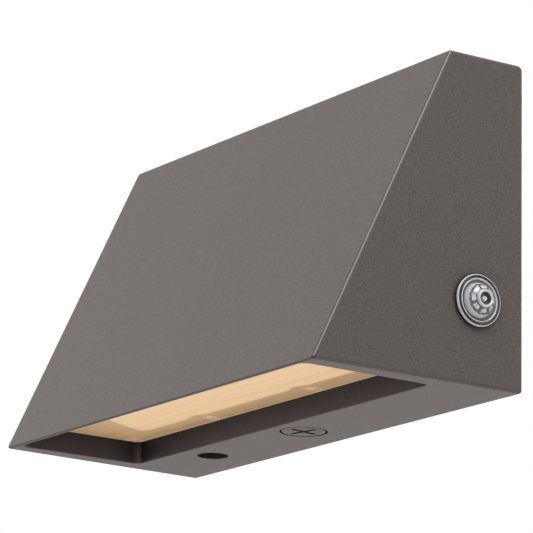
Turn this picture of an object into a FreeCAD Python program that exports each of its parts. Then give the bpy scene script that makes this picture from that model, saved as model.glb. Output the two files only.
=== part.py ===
import FreeCAD, Part
import math
import os
import re
import Sketcher

# Compact wedge wall pack light: a die-cast housing that hangs on a wall plate,
# lights downwards through a lens in its bottom recess and carries a photocell.
# Frame: x along the wall, y = 0 on the wall with -y towards the street, z up.
# "Depths" count from the housing's rear rim towards the front.

doc = FreeCAD.newDocument("WallPackLight")
sheet = doc.addObject("Spreadsheet::Sheet", "Sizes")

drivingSizes = [
    # housing shell
    ("width", 280.0, "width at the rear rim"),
    ("height", 164.0, "overall height"),
    ("bottom_depth", 121.8, "rear rim to the front edge at the bottom"),
    ("top_depth", 44.3, "rear rim to the front edge at the top"),
    ("side_draft", 1.45, "degrees that each side leans inwards to the front"),
    ("wall", 3.0, "casting wall"),
    ("rim_gap", 1.0, "rear rim to the wall, the caulk line"),
    ("edge_round", 1.8, "outer edge rounding"),
    ("lip_round", 1.0, "rounding of the edge below the front"),
    ("top_rear_round", 2.9, "rounding of the top rear edge, which rolls on the wall"),
    # light recess
    ("recess_side", 13.4, "side rim to the recess"),
    ("lip_thick", 2.2, "front edge to the recess"),
    ("recess_back", 46.0, "depth of the recess's rear edge"),
    ("recess_depth", 11.7, "bottom face to the lens face"),
    ("recess_lean", 8.4, "how far the recess's front wall leans back"),
    ("recess_round", 4.0, "rounding of the recess's standing corners"),
    ("mouth_round", 0.5, "rounding of the recess's lower edge"),
    # lamp box inside the housing
    ("box_back", 42.0, "depth of the lamp box's rear wall"),
    ("box_side_wall", 3.0, "wall beside the recess"),
    ("ledge_thick", 5.0, "thickness of the lens ledge"),
    ("chamber_height", 12.3, "ledge to the ceiling behind the board"),
    ("ceiling", 3.0, "ceiling of the lamp chamber"),
    ("chamber_wall", 4.0, "wall beside the lamp chamber"),
    # bright zone of the lens and the chamber behind it
    ("zone_back", 60.7, "depth of the bright zone's rear edge"),
    ("zone_edge", 8.2, "recess front wall at the lens to the bright zone"),
    ("zone_side", 40.0, "side rim to the bright zone at its rear"),
    ("zone_taper", 20.0, "how far each side of the zone comes in towards its front"),
    ("zone_round", 7.0, "corner rounding of the bright zone"),
    ("zone_step", 0.5, "how far the bright zone stands out of the lens"),
    ("scallop", 11.0, "radius kept clear round each lens screw"),
    # lens, its gasket and its screws
    ("lens_thick", 3.0, "thickness of the lens rim"),
    ("lens_fit", 0.4, "gap round the lens"),
    ("gasket_thick", 1.0, "lens gasket, squeezed"),
    ("flute_pitch", 3.0, "pitch of the flutes on the lens"),
    ("flute_depth", 0.6, "depth of the flutes"),
    ("lens_screw_back", 52.1, "depth of the rear row of lens screws"),
    ("screw_edge_front", 5.0, "recess front wall to the front lens screws"),
    ("screw_edge_side", 4.6, "recess side to the corner lens screws"),
    ("lens_screw_left", 48.5, "middle lens screw left of centre"),
    ("lens_screw_right", 40.5, "middle lens screw right of centre"),
    ("lens_screw_r", 1.9, "shank radius"),
    ("lens_screw_head_r", 3.3, "pan head radius"),
    ("lens_screw_head", 1.8, "pan head height"),
    ("lens_screw_length", 8.0, "shank length"),
    ("screw_end_gap", 0.5, "hole below the end of a screw"),
    ("screw_fit", 0.05, "radial gap of a screw in its own thread"),
    ("screw_pass", 0.3, "radial gap of a screw in a plain hole"),
    # lamp board
    ("board_end", 2.0, "zone side at its front to the end of the lamp board"),
    ("board_edge", 4.0, "bright zone to the board"),
    ("board_thick", 1.6, "board thickness"),
    ("pad_thick", 0.5, "thermal pad"),
    ("chip", 3.0, "side of a lamp chip"),
    ("chip_height", 0.9, "height of a lamp chip"),
    ("chip_count", 12, "chips in a row"),
    ("chip_row", 18.0, "spacing of the two rows"),
    ("board_screw_r", 1.5, "board screw shank radius"),
    ("board_screw_head_r", 2.7, "board screw head radius"),
    ("board_screw_head", 1.9, "board screw head height"),
    ("board_screw_edge", 6.0, "board end to its outer screws"),
    ("reflector_thick", 0.8, "reflector sheet"),
    ("reflector_gap", 0.3, "reflector to what is round it"),
    ("connector_width", 8.0, "lamp lead connector on the board"),
    # hook lugs and hinge of the housing on the wall plate
    ("hinge_depth", 7.5, "wall to the hook line"),
    ("hinge_drop", 5.7, "top to the hook line"),
    ("lug_thick", 3.0, "thickness of a hook lug"),
    ("lug_width", 24.0, "width of a hook lug"),
    ("hook_side", 40.0, "plate end to the middle of a hook"),
    ("hook_width", 24.0, "width of a hook"),
    ("hook_seat", 0.3, "play between the lug and its hook"),
    ("hook_reach", 5.5, "hook line to the front of the hook"),
    ("hook_lip", 3.8, "height of the hook's lip above its floor"),
    # wall plate and its gasket
    ("gasket_wall", 1.5, "gasket behind the plate"),
    ("plate_thick", 2.0, "wall plate sheet"),
    ("plate_side", 40.0, "side rim to the wall plate"),
    ("plate_flange", 6.0, "stiffening flange along the lower edge"),
    ("plate_round", 6.0, "corner rounding of the wall plate"),
    ("box_slot_x", 88.9, "spacing of the side box slots"),
    ("box_slot_z", 83.3, "spacing of the upright box slots"),
    ("slot_long", 14.0, "end-to-end length of a box slot"),
    ("slot_r", 2.5, "half width of a box slot"),
    ("anchor_edge", 15.0, "plate end to the wall anchor holes"),
    ("anchor_z", 100.0, "spacing of the wall anchor holes along z"),
    ("anchor_r", 2.75, "wall anchor hole radius"),
    ("wire_hole_r", 9.0, "wire hole in the plate"),
    ("grommet_flange_r", 12.0, "grommet flange radius"),
    ("grommet_flange", 1.5, "grommet flange thickness"),
    ("grommet_bore_r", 5.0, "grommet bore radius"),
    ("ground_x", 62.0, "place of the grounding screw"),
    ("ground_z", -28.0, "height of the grounding screw"),
    ("ground_r", 2.0, "grounding screw shank radius"),
    ("ground_head_r", 4.6, "grounding screw head radius"),
    # locking screw
    ("lock_side", 58.4, "left side rim to the access hole"),
    ("lock_depth", 28.7, "depth of the access hole"),
    ("access_r", 8.25, "access hole radius"),
    ("access_long", 14.0, "length of the access hole"),
    ("boss_wall", 2.5, "wall round the access hole"),
    ("lock_r", 2.5, "locking screw shank radius"),
    ("lock_head_r", 7.0, "locking screw head radius, a wide knurled head"),
    ("lock_head", 4.0, "locking screw head height"),
    ("lock_reach", 18.5, "screw end above the end wall of its boss"),
    ("retainer_r", 4.4, "retaining ring radius"),
    ("retainer_thick", 0.8, "retaining ring thickness"),
    ("tab_gap", 1.3, "retaining ring to the fork, which springs"),
    ("tab_width", 20.0, "width of the fork"),
    ("tab_nose", 5.3, "fork end in front of the locking screw"),
    ("tab_slot_r", 3.0, "half width of the fork's slot"),
    ("clamp_seat", 0.3, "clamp bar to the fork"),
    ("clamp_width", 12.0, "clamp bar width"),
    ("clamp_rear", 6.0, "clamp bar behind the screw"),
    ("clamp_thick", 4.0, "clamp bar thickness"),
    ("clamp_guide", 0.2, "clamp bar to the wall that stops it turning"),
    # port plug
    ("port_depth", 28.5, "depth of the port in the bottom face"),
    ("port_head_r", 11.85, "plug head radius"),
    ("port_ring_gap", 0.45, "gap round the plug head"),
    ("port_head", 2.2, "plug head thickness"),
    ("port_seal_r", 0.55, "section radius of the plug's sealing ring"),
    ("port_thread_r", 10.1, "plug thread radius"),
    ("port_thread", 6.0, "plug thread length"),
    ("port_bore_r", 7.6, "hollow of the plug"),
    ("port_boss_wall", 2.2, "wall round the port"),
    ("cross_long", 17.0, "length of the plug's cross"),
    ("cross_wide", 1.2, "width of the plug's cross"),
    ("cross_deep", 1.3, "depth of the plug's cross"),
    ("cross_turn", 10.0, "degrees that the cross is turned"),
    # photocell
    ("cell_depth", 28.0, "depth of the photocell in the right side"),
    ("cell_rise", 41.3, "bottom to the middle of the photocell"),
    ("cell_hole_r", 8.3, "photocell hole radius"),
    ("cell_stem_r", 8.0, "photocell stem radius"),
    ("cell_stem", 23.0, "photocell stem length inside the wall face"),
    ("cell_seal", 0.8, "photocell washer thickness"),
    ("cell_flange_r", 13.2, "photocell flange radius"),
    ("cell_flange", 1.3, "photocell flange thickness"),
    ("cell_step_r", 10.9, "step of the photocell lens"),
    ("cell_dome_r", 8.9, "dome of the photocell lens"),
    ("cell_nose_r", 4.7, "nose of the photocell lens"),
    ("cell_nose_hole_r", 3.1, "hollow in the nose"),
    ("cell_reach", 7.9, "nose tip above the wall face"),
    ("cell_nut_r", 12.0, "photocell nut across its corners, halved"),
    ("cell_nut", 5.0, "photocell nut thickness"),
    # driver
    ("lead_room", 5.0, "lead hole's middle to the driver's output end"),
    ("driver_side", 84.0, "side rims to the driver case, on average"),
    ("driver_front", 41.8, "front edge at the bottom to the driver case"),
    ("driver_tall", 25.0, "driver case height"),
    ("driver_back", 45.0, "depth of the driver's rear side"),
    ("driver_cap", 6.0, "end cap length"),
    ("driver_ear", 12.0, "length of a driver's mounting ear"),
    ("driver_ear_thick", 3.0, "thickness of a mounting ear"),
    ("foot_height", 3.0, "height of the mounting bosses"),
    ("foot_r", 4.5, "radius of the mounting bosses"),
    ("fix_screw_r", 1.95, "mounting screw shank radius"),
    ("fix_screw_head_r", 3.6, "mounting screw head radius"),
    ("fix_screw_head", 2.4, "mounting screw head height"),
    ("fix_screw_length", 4.5, "mounting screw shank below its ear"),
    # terminal block
    ("block_beside", 14.0, "driver case's input end to the middle of the terminal block"),
    ("block_long", 34.0, "terminal block length"),
    ("block_wide", 17.0, "terminal block width"),
    ("block_tall", 13.0, "terminal block height"),
    ("block_back", 15.0, "depth of the terminal block's rear side"),
    ("block_ear", 8.0, "length of the block's mounting ears"),
    ("block_ear_thick", 3.0, "thickness of the block's mounting ears"),
    ("pole_pitch", 8.0, "spacing of the poles"),
    ("pole_count", 4, "poles of the terminal block"),
    ("pole_row", 7.0, "spacing of the two rows of wire holes"),
    ("pole_hole_r", 1.5, "wire hole radius"),
    ("pole_hole_deep", 5.0, "wire hole depth"),
    # ribs of the casting
    ("rib_thick", 2.0, "thickness of a rib"),
    ("rib_tall", 5.0, "how far a rib stands off the front wall"),
    ("rib_pitch", 55.0, "spacing of the ribs"),
    ("rib_count", 5, "number of ribs"),
    # internal leads
    ("lead_r", 1.1, "insulated lead radius"),
    ("lead_spacing", 2.5, "spacing of the two lamp leads"),
    ("cell_wire_side", 3.0, "how far the photocell's wires leave beside its middle"),
    ("cell_wire_drop", 2.0, "how far they leave above and below it"),
    ("driver_wire_drop", 4.0, "driver top to its upper supply lead"),
    ("driver_wire_step", 9.0, "upper to lower supply lead"),
    ("driver_wire_out", 16.0, "how far the supply leads run out of the driver"),
    ("driver_wire_fall", 7.0, "how far they drop on their way to the terminal block"),
    ("lead_hole_r", 4.0, "lead hole in the lamp chamber's ceiling"),
    ("lead_hole_side", 7.0, "bright zone's rear corner to the lead hole"),
    ("lead_hole_depth", 66.0, "depth of the lead hole"),
    ("lead_grommet_r", 3.3, "bore of the lead grommet"),
    ("lead_grommet_flange_r", 5.4, "flange radius of the lead grommet"),
    ("lead_grommet_flange", 1.0, "flange thickness of the lead grommet"),
]

# Sizes that follow from the ones above.
derivedSizes = [
    ("recess_width", "width - 2*recess_side", "width of the bottom recess"),
    ("recess_front", "bottom_depth - lip_thick", "depth at which the recess ends in front"),
    ("zone_back_width", "width - 2*zone_side", "bright zone's width at its rear"),
    ("zone_front_width", "zone_back_width - 2*zone_taper", "bright zone's width at its front"),
    ("zone_front", "recess_front - recess_lean - zone_edge", "depth of the bright zone's front"),
    ("lens_screw_front", "recess_front - recess_lean - screw_edge_front", "depth of the front lens screws"),
    ("lens_screw_corner", "recess_width/2 - screw_edge_side", "middle to the corner lens screws"),
    ("board_width", "zone_front_width - 2*board_end", "width of the lamp board"),
    ("board_back", "zone_back + board_edge", "depth of the lamp board's rear edge"),
    ("board_front", "zone_front - board_edge", "depth of the lamp board's front edge"),
    ("chip_pitch", "board_width/(chip_count + 1)", "spacing of the chips along the board"),
    ("board_screw_x", "board_width/2 - board_screw_edge", "middle to the outer board screws"),
    ("hinge_height", "height/2 - hinge_drop", "height of the hook line"),
    ("plate_width", "width - 2*plate_side", "width of the wall plate"),
    ("hook_x", "plate_width/2 - hook_side", "middle to each hook"),
    ("anchor_x", "plate_width - 2*anchor_edge", "spacing of the wall anchor holes"),
    ("lock_x", "lock_side - width/2", "access hole and locking screw"),
    ("cell_height", "cell_rise - height/2", "height of the photocell"),
    ("driver_long", "width - 2*driver_side", "length of the driver case"),
    ("driver_wide", "bottom_depth - driver_front - driver_back", "depth of the driver case"),
    ("lead_hole_x", "lead_hole_side - zone_back_width/2", "lead hole beside the lamp board"),
    ("driver_x", "lead_hole_x + lead_room + driver_ear + driver_cap + driver_long/2", "middle of the driver"),
    ("block_x", "driver_x + driver_long/2 + block_beside", "middle of the terminal block"),
]

for row, (alias, value, note) in enumerate(drivingSizes + derivedSizes, start=1):
    sheet.set("A%d" % row, note)
    sheet.set("B%d" % row, "=%s" % value)
    sheet.setAlias("B%d" % row, alias)
doc.recompute()
aliases = {alias for alias, value, note in drivingSizes + derivedSizes}


def tied(text):
    """Turn 'wall + edge_round' into an expression on the sheet's cells."""
    def cell(match):
        word = match.group()
        return "Sizes." + word if word in aliases else word
    return re.sub(r"[a-z]\w*", cell, str(text))


def size(text):
    """The number that an expression on the sheet gives now."""
    return float(sheet.evalExpression(tied(text)))


# named places, as expressions on the sheet
bottomZ = "-height/2"
lensZ = bottomZ + " + recess_depth"
gasketZ = lensZ + " + lens_thick"
ledgeZ = gasketZ + " + gasket_thick"
ceilingZ = ledgeZ + " + chamber_height"
boxTopZ = ceilingZ + " + ceiling"
footZ = boxTopZ + " + foot_height"
boardZ = ceilingZ + " - pad_thick - board_thick"
bossEndZ = bottomZ + " + access_long + wall"
forkZ = bossEndZ + " + retainer_thick + tab_gap"
forkTopZ = forkZ + " + plate_thick"
plateFront = "gasket_wall + plate_thick"
lockY = "-(rim_gap + lock_depth)"
portY = "-(rim_gap + port_depth)"
draftTan = "tan(side_draft)"


def at(depth):
    """The y of a depth counted from the rear rim."""
    return "-(rim_gap + (%s))" % depth


def frontY(z):
    """The y of the sloping front at a height."""
    return at("bottom_depth - (%s + height/2)*(bottom_depth - top_depth)/height" % z)


# ---------------- drawing and feature helpers

subParts = []


def newBody(name):
    body = doc.addObject("PartDesign::Body", name)
    body.Label = name
    body.AllowCompound = True
    subParts.append(body)
    return body


def originPlane(body, role):
    for feature in body.Origin.OriginFeatures:
        if feature.Role == role:
            return feature


def newSketch(body, name, plane, offset="0"):
    sketch = body.newObject("Sketcher::SketchObject", name)
    sketch.AttachmentSupport = [(originPlane(body, plane), "")]
    sketch.MapMode = "FlatFace"
    sketch.setExpression("AttachmentOffset.Base.z", tied(offset))
    return sketch


def pin(sketch, item, point, x, y):
    """Tie one point of a sketch to its place."""
    for kind, text in (("DistanceX", x), ("DistanceY", y)):
        rule = Sketcher.Constraint(kind, -1, 1, item, point, size(text))
        index = sketch.addConstraint(rule)
        sketch.setExpression("Constraints[%d]" % index, tied(text))


def drawPolygon(sketch, corners):
    points = [FreeCAD.Vector(size(x), size(y), 0) for x, y in corners]
    first = sketch.GeometryCount
    count = len(points)
    for i in range(count):
        sketch.addGeometry(Part.LineSegment(points[i], points[(i + 1) % count]), False)
    for i in range(count):
        following = first + (i + 1) % count
        sketch.addConstraint(Sketcher.Constraint("Coincident", first + i, 2, following, 1))
    for i, (x, y) in enumerate(corners):
        pin(sketch, first + i, 1, x, y)


def drawBox(sketch, left, right, low, high):
    drawPolygon(sketch, [(left, low), (right, low), (right, high), (left, high)])


def drawCircle(sketch, x, y, radius):
    centre = FreeCAD.Vector(size(x), size(y), 0)
    circle = Part.Circle(centre, FreeCAD.Vector(0, 0, 1), size(radius))
    item = sketch.addGeometry(circle, False)
    pin(sketch, item, 3, x, y)
    index = sketch.addConstraint(Sketcher.Constraint("Radius", item, size(radius)))
    sketch.setExpression("Constraints[%d]" % index, tied(radius))


def drawSlot(sketch, x, y, reach, radius, upright=False):
    """A round-ended slot whose end centres lie reach from its middle."""
    steps = [("0", "-(%s)" % reach), ("0", reach)] if upright else [("-(%s)" % reach, "0"), (reach, "0")]
    centres = [("(%s) + %s" % (x, dx), "(%s) + %s" % (y, dy)) for dx, dy in steps]
    turn = math.pi if upright else math.pi / 2
    points = [FreeCAD.Vector(size(cx), size(cy), 0) for cx, cy in centres]
    side = FreeCAD.Vector(math.cos(turn), math.sin(turn), 0) * size(radius)
    axis = FreeCAD.Vector(0, 0, 1)
    ends = []
    for centre, start in zip(points, (turn, turn + math.pi)):
        arc = Part.ArcOfCircle(Part.Circle(centre, axis, size(radius)), start, start + math.pi)
        ends.append(sketch.addGeometry(arc, False))
    upper = sketch.addGeometry(Part.LineSegment(points[1] + side, points[0] + side), False)
    lower = sketch.addGeometry(Part.LineSegment(points[0] - side, points[1] - side), False)
    for first, firstPoint, second, secondPoint in (
            (upper, 2, ends[0], 1), (ends[0], 2, lower, 1),
            (lower, 2, ends[1], 1), (ends[1], 2, upper, 1)):
        sketch.addConstraint(Sketcher.Constraint("Tangent", first, firstPoint, second, secondPoint))
    for item, (cx, cy) in zip(ends, centres):
        pin(sketch, item, 3, cx, cy)
    index = sketch.addConstraint(Sketcher.Constraint("Radius", ends[0], size(radius)))
    sketch.setExpression("Constraints[%d]" % index, tied(radius))


def pad(body, sketch, length, name, midplane=False, reverse=False):
    feature = body.newObject("PartDesign::Pad", name)
    feature.Profile = sketch
    feature.setExpression("Length", tied(length))
    feature.Midplane = midplane
    feature.Reversed = reverse
    doc.recompute()
    return feature


def pocket(body, sketch, length, name, midplane=False, reverse=False):
    """Cut along the sketch's normal backwards, or forwards when reversed."""
    before = body.Tip.Shape.Volume
    feature = body.newObject("PartDesign::Pocket", name)
    feature.Profile = sketch
    feature.setExpression("Length", tied(length))
    feature.Midplane = midplane
    feature.Reversed = reverse
    doc.recompute()
    if feature.Shape.Volume >= before:
        raise RuntimeError("%s cuts nothing" % name)
    return feature


def revolve(body, sketch, name):
    feature = body.newObject("PartDesign::Revolution", name)
    feature.Profile = sketch
    feature.ReferenceAxis = (sketch, ["V_Axis"])
    feature.Angle = 360
    doc.recompute()
    return feature


def repeat(body, features, sketch, axis, length, count, name, backwards=False):
    pattern = body.newObject("PartDesign::LinearPattern", name)
    pattern.Originals = features
    pattern.Direction = (sketch, [axis])
    pattern.Reversed = backwards
    pattern.setExpression("Length", tied(length))
    pattern.setExpression("Occurrences", tied(count))
    body.Tip = pattern
    doc.recompute()
    return pattern


def dressEdges(body, kind, sizeName, amount, name, wanted):
    base = body.Tip
    names = ["Edge%d" % i for i, edge in enumerate(base.Shape.Edges, start=1) if wanted(edge)]
    feature = body.newObject(kind, name)
    feature.Base = (base, names)
    feature.setExpression(sizeName, tied(amount))
    doc.recompute()


def roundEdges(body, radius, name, wanted):
    dressEdges(body, "PartDesign::Fillet", "Radius", radius, name, wanted)


def bevelEdges(body, width, name, wanted):
    dressEdges(body, "PartDesign::Chamfer", "Size", width, name, wanted)


def middle(edge):
    return edge.valueAt((edge.FirstParameter + edge.LastParameter) / 2)


def near(value, target, slack=0.001):
    return abs(value - target) < slack


def spanAlong(edge, axis):
    box = edge.BoundBox
    return (box.XLength, box.YLength, box.ZLength)[axis]


def isUpright(edge):
    return near(spanAlong(edge, 0), 0) and near(spanAlong(edge, 1), 0)


# ---------------- housing

lensScrews = [("-lens_screw_corner", "lens_screw_back"), ("-lens_screw_left", "lens_screw_back"),
              ("lens_screw_right", "lens_screw_back"), ("lens_screw_corner", "lens_screw_back"),
              ("-lens_screw_corner", "lens_screw_front"), ("-lens_screw_left", "lens_screw_front"),
              ("lens_screw_right", "lens_screw_front"), ("lens_screw_corner", "lens_screw_front")]
driverEnd = "driver_long/2 + driver_cap + driver_ear/2"
driverFootInset = "driver_wide/4"
driverFeet = [("driver_x %s (%s)" % (side, driverEnd), "driver_back + driver_wide/2 %s %s" % (edge, driverFootInset))
              for side in "-+" for edge in "-+"]
blockFeet = [("block_x %s (block_long/2 + block_ear/2)" % side, "block_back + block_wide/2")
             for side in "-+"]


def onOuterPlanes(point):
    """How many of the wedge's six outer planes a point lies on."""
    lean = math.tan(math.radians(size("side_draft")))
    slopeY = size(frontY("(%r)" % point.z))
    gaps = (point.y + size("rim_gap"),
            point.z - size("height/2"),
            point.z + size("height/2"),
            point.y - slopeY,
            abs(point.x) - size("width/2") - (point.y + size("rim_gap")) * lean)
    return sum(1 for gap in gaps if near(gap, 0))


def zoneOutline(body, name, plane, offset, grow="0"):
    """The trapezium of the bright zone, wider at its rear."""
    sketch = newSketch(body, name, plane, offset)
    rear = at("zone_back - (%s)" % grow)
    front = at("zone_front + (%s)" % grow)
    drawPolygon(sketch, [("-(zone_back_width/2 + %s)" % grow, rear),
                         ("-(zone_front_width/2 + %s)" % grow, front),
                         ("zone_front_width/2 + %s" % grow, front),
                         ("zone_back_width/2 + %s" % grow, rear)])
    return sketch


def insideZone(edge, grow="0"):
    """True for an upright edge at a corner of the bright zone's outline."""
    spot = middle(edge)
    if not isUpright(edge):
        return False
    rear = near(spot.y, size(at("zone_back - (%s)" % grow)))
    front = near(spot.y, size(at("zone_front + (%s)" % grow)))
    wide = near(abs(spot.x), size("zone_back_width/2 + %s" % grow))
    narrow = near(abs(spot.x), size("zone_front_width/2 + %s" % grow))
    return (rear and wide) or (front and narrow)


def makeShell(body):
    plan = newSketch(body, "HousingPlan", "XY_Plane", bottomZ)
    spare = "bottom_depth + wall"
    frontHalf = "width/2 - (%s)*%s" % (spare, draftTan)
    drawPolygon(plan, [("-width/2", at("0")), ("-(%s)" % frontHalf, at(spare)),
                       (frontHalf, at(spare)), ("width/2", at("0"))])
    pad(body, plan, "height", "Block")
    slope = newSketch(body, "SlopeProfile", "YZ_Plane")
    drawPolygon(slope, [(at("bottom_depth"), bottomZ), (at("top_depth"), "height/2"),
                        (at(spare + " + wall"), "height/2"), (at(spare + " + wall"), bottomZ)])
    pocket(body, slope, "width*2", "Slope", midplane=True)
    wedge = body.Tip
    rear = [i for i, face in enumerate(wedge.Shape.Faces, start=1)
            if near(face.CenterOfMass.y, size(at("0")))]
    shell = body.newObject("PartDesign::Thickness", "Shell")
    shell.Base = (wedge, ["Face%d" % rear[0]])
    shell.setExpression("Value", tied("wall"))
    shell.Reversed = True
    shell.Join = 1
    doc.recompute()

    def topRear(edge):
        spot = middle(edge)
        outer = near(spot.y, size(at("0"))) and near(spot.z, size("height/2"))
        return outer and onOuterPlanes(spot) == 2
    roundEdges(body, "top_rear_round", "TopRearRound", topRear)
    roundEdges(body, "lip_round", "LipRound", isLip)
    roundEdges(body, "edge_round", "OuterRound",
               lambda edge: onOuterPlanes(middle(edge)) == 2 and edge.Curve.TypeId == "Part::GeomLine")


def isLip(edge):
    """The edge where the sloping front meets the bottom."""
    spot = middle(edge)
    lowest = near(spot.z, size(bottomZ)) and near(spot.y, size(at("bottom_depth")))
    return lowest and spanAlong(edge, 0) > 1


def makeLampBox(body):
    """The cast box round the lamp board, closed towards the wiring space."""
    lowZ = bottomZ + " + wall/2"
    baseTop = ledgeZ + " + ledge_thick"
    for name, low, high, wide in (
            ("LampBase", lowZ, baseTop, "recess_width + 2*box_side_wall"),
            ("LampTop", lowZ, boxTopZ, "zone_back_width + 2*chamber_wall")):
        profile = newSketch(body, name + "Profile", "YZ_Plane")
        drawPolygon(profile, [(at("box_back"), low), (frontY(low) + " + wall", low),
                              (frontY(high) + " + wall", high), (at("box_back"), high)])
        pad(body, profile, wide, name, midplane=True)
    recess = newSketch(body, "RecessProfile", "YZ_Plane")
    seatFront = at("recess_front - recess_lean")
    drawPolygon(recess, [(at("recess_front"), bottomZ), (seatFront, lensZ),
                         (at("recess_back"), lensZ), (at("recess_back"), bottomZ)])
    pocket(body, recess, "recess_width", "Recess", midplane=True)

    def standing(edge):
        spot = middle(edge)
        onSide = near(abs(spot.x), size("recess_width/2")) and near(spanAlong(edge, 0), 0)
        return onSide and size(bottomZ) + 0.01 < spot.z < size(lensZ) - 0.01
    roundEdges(body, "recess_round", "RecessRound", standing)
    seat = newSketch(body, "LensSeatOutline", "XY_Plane", lensZ)
    drawBox(seat, "-recess_width/2", "recess_width/2", seatFront, at("recess_back"))
    pocket(body, seat, "lens_thick + gasket_thick", "LensSeat", reverse=True)
    chamber = zoneOutline(body, "ChamberOutline", "XY_Plane", ledgeZ)
    pocket(body, chamber, "chamber_height", "Chamber", reverse=True)
    roundEdges(body, "zone_round", "ChamberRound",
               lambda edge: insideZone(edge) and size(ledgeZ) - 0.01 < middle(edge).z < size(ceilingZ))
    holes = newSketch(body, "LensScrewHoles", "XY_Plane", ledgeZ)
    for x, depth in lensScrews:
        drawCircle(holes, x, at(depth), "lens_screw_r + screw_fit")
    pocket(body, holes, "lens_screw_length - lens_thick - gasket_thick + screw_end_gap",
           "LensScrewBores", reverse=True)
    boardHoles = newSketch(body, "BoardScrewHoles", "XY_Plane", ceilingZ)
    for x, depth in boardScrews:
        drawCircle(boardHoles, x, at(depth), "board_screw_r + screw_fit")
    pocket(body, boardHoles, "ceiling - screw_end_gap", "BoardScrewBores", reverse=True)
    leadHole = newSketch(body, "LeadHole", "XY_Plane", ceilingZ)
    drawCircle(leadHole, "lead_hole_x", at("lead_hole_depth"), "lead_hole_r")
    pocket(body, leadHole, "ceiling", "LeadBore", reverse=True)


def makeBosses(body):
    """The access tube of the locking screw, the threaded port and the feet."""
    lowZ = bottomZ + " + wall/2"
    tube = newSketch(body, "AccessTubeOutline", "XY_Plane", lowZ)
    drawCircle(tube, "lock_x", lockY, "access_r + boss_wall")
    pad(body, tube, "access_long + wall/2", "AccessTube")
    access = newSketch(body, "AccessOutline", "XY_Plane", bottomZ)
    drawCircle(access, "lock_x", lockY, "access_r")
    pocket(body, access, "access_long", "AccessHole", reverse=True)
    lockHole = newSketch(body, "LockHoleOutline", "XY_Plane", bottomZ + " + access_long")
    drawCircle(lockHole, "lock_x", lockY, "lock_r + screw_fit")
    pocket(body, lockHole, "wall", "LockHole", reverse=True)
    port = newSketch(body, "PortBossOutline", "XY_Plane", lowZ)
    drawCircle(port, "0", portY, "port_head_r + port_ring_gap + port_boss_wall")
    pad(body, port, portDeep + " - wall/2", "PortBoss")
    seat = newSketch(body, "PortSeatOutline", "XY_Plane", bottomZ)
    drawCircle(seat, "0", portY, "port_head_r + port_ring_gap")
    pocket(body, seat, portSeat, "PortSeat", reverse=True)
    thread = newSketch(body, "PortThreadOutline", "XY_Plane", bottomZ)
    drawCircle(thread, "0", portY, "port_thread_r + screw_fit")
    pocket(body, thread, portDeep, "PortThread", reverse=True)
    for name, base, feet in (("DriverFeet", boxTopZ, driverFeet),
                             ("BlockFeet", bottomZ + " + wall", blockFeet)):
        sketch = newSketch(body, name + "Outline", "XY_Plane", base + " - screw_end_gap")
        for x, depth in feet:
            drawCircle(sketch, x, at(depth), "foot_r")
        pad(body, sketch, "foot_height + screw_end_gap", name)
        bores = newSketch(body, name + "Bores", "XY_Plane", base + " + foot_height")
        for x, depth in feet:
            drawCircle(bores, x, at(depth), "fix_screw_r + screw_fit")
        pocket(body, bores, "fix_screw_length + screw_end_gap", name + "Bored")


def makeHookLugs(body):
    lugs = newSketch(body, "HookLugOutline", "XZ_Plane", "hinge_depth - lug_thick/2")
    for side in "-+":
        centre = "(%shook_x)" % side
        drawBox(lugs, centre + " - lug_width/2", centre + " + lug_width/2",
                "hinge_height - lug_thick/2", "height/2 - wall/2")
    pad(body, lugs, "lug_thick", "HookLugs")
    roundEdges(body, "lug_thick/2 - screw_fit", "HookLugRound",
               lambda edge: near(middle(edge).z, size("hinge_height - lug_thick/2"))
               and spanAlong(edge, 0) > 1)


def makeRibs(body):
    start = "-rib_pitch*(rib_count - 1)/2 - rib_thick/2"
    profile = newSketch(body, "RibProfile", "YZ_Plane", start)
    low = boxTopZ + " - ceiling/2"
    high = "height/2 - wall/2"
    drawPolygon(profile, [(frontY(low) + " + wall", low), (frontY(low) + " + wall + rib_tall", low),
                          (frontY(high) + " + wall + rib_tall", high), (frontY(high) + " + wall", high)])
    rib = pad(body, profile, "rib_thick", "Rib")
    repeat(body, [rib], profile, "N_Axis", "rib_pitch*(rib_count - 1)", "rib_count", "Ribs")


def makeHousing():
    body = newBody("housing")
    makeShell(body)
    makeLampBox(body)
    makeBosses(body)
    cell = newSketch(body, "PhotocellHoleOutline", "YZ_Plane", "width/2 + wall")
    drawCircle(cell, at("cell_depth"), "cell_height", "cell_hole_r")
    pocket(body, cell, "wall*3", "PhotocellHole")
    makeHookLugs(body)
    makeRibs(body)
    roundEdges(body, "mouth_round", "RecessMouthRound", onRecessMouth)


def onRecessMouth(edge):
    """Edges where the recess's rear and side walls meet the bottom face."""
    spot = middle(edge)
    inWidth = abs(spot.x) < size("recess_width/2") + 0.01
    inDepth = size(at("recess_front - 2*recess_round")) < spot.y < size(at("recess_back")) + 0.01
    nearWall = spot.y > size(at("recess_back + recess_round")) - 0.01
    nearSide = abs(spot.x) > size("recess_width/2") - 0.01
    return near(spot.z, size(bottomZ)) and inWidth and inDepth and (nearWall or nearSide)


# ---------------- lens, gasket and screws

def lensOutline(body, name, offset):
    sketch = newSketch(body, name, "XY_Plane", offset)
    half = "(recess_width/2 - lens_fit)"
    drawBox(sketch, "-" + half, half, at("recess_front - recess_lean - lens_fit"),
            at("recess_back + lens_fit"))
    return sketch


def lensCorner(edge):
    spot = middle(edge)
    return isUpright(edge) and near(abs(spot.x), size("recess_width/2 - lens_fit"))


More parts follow.
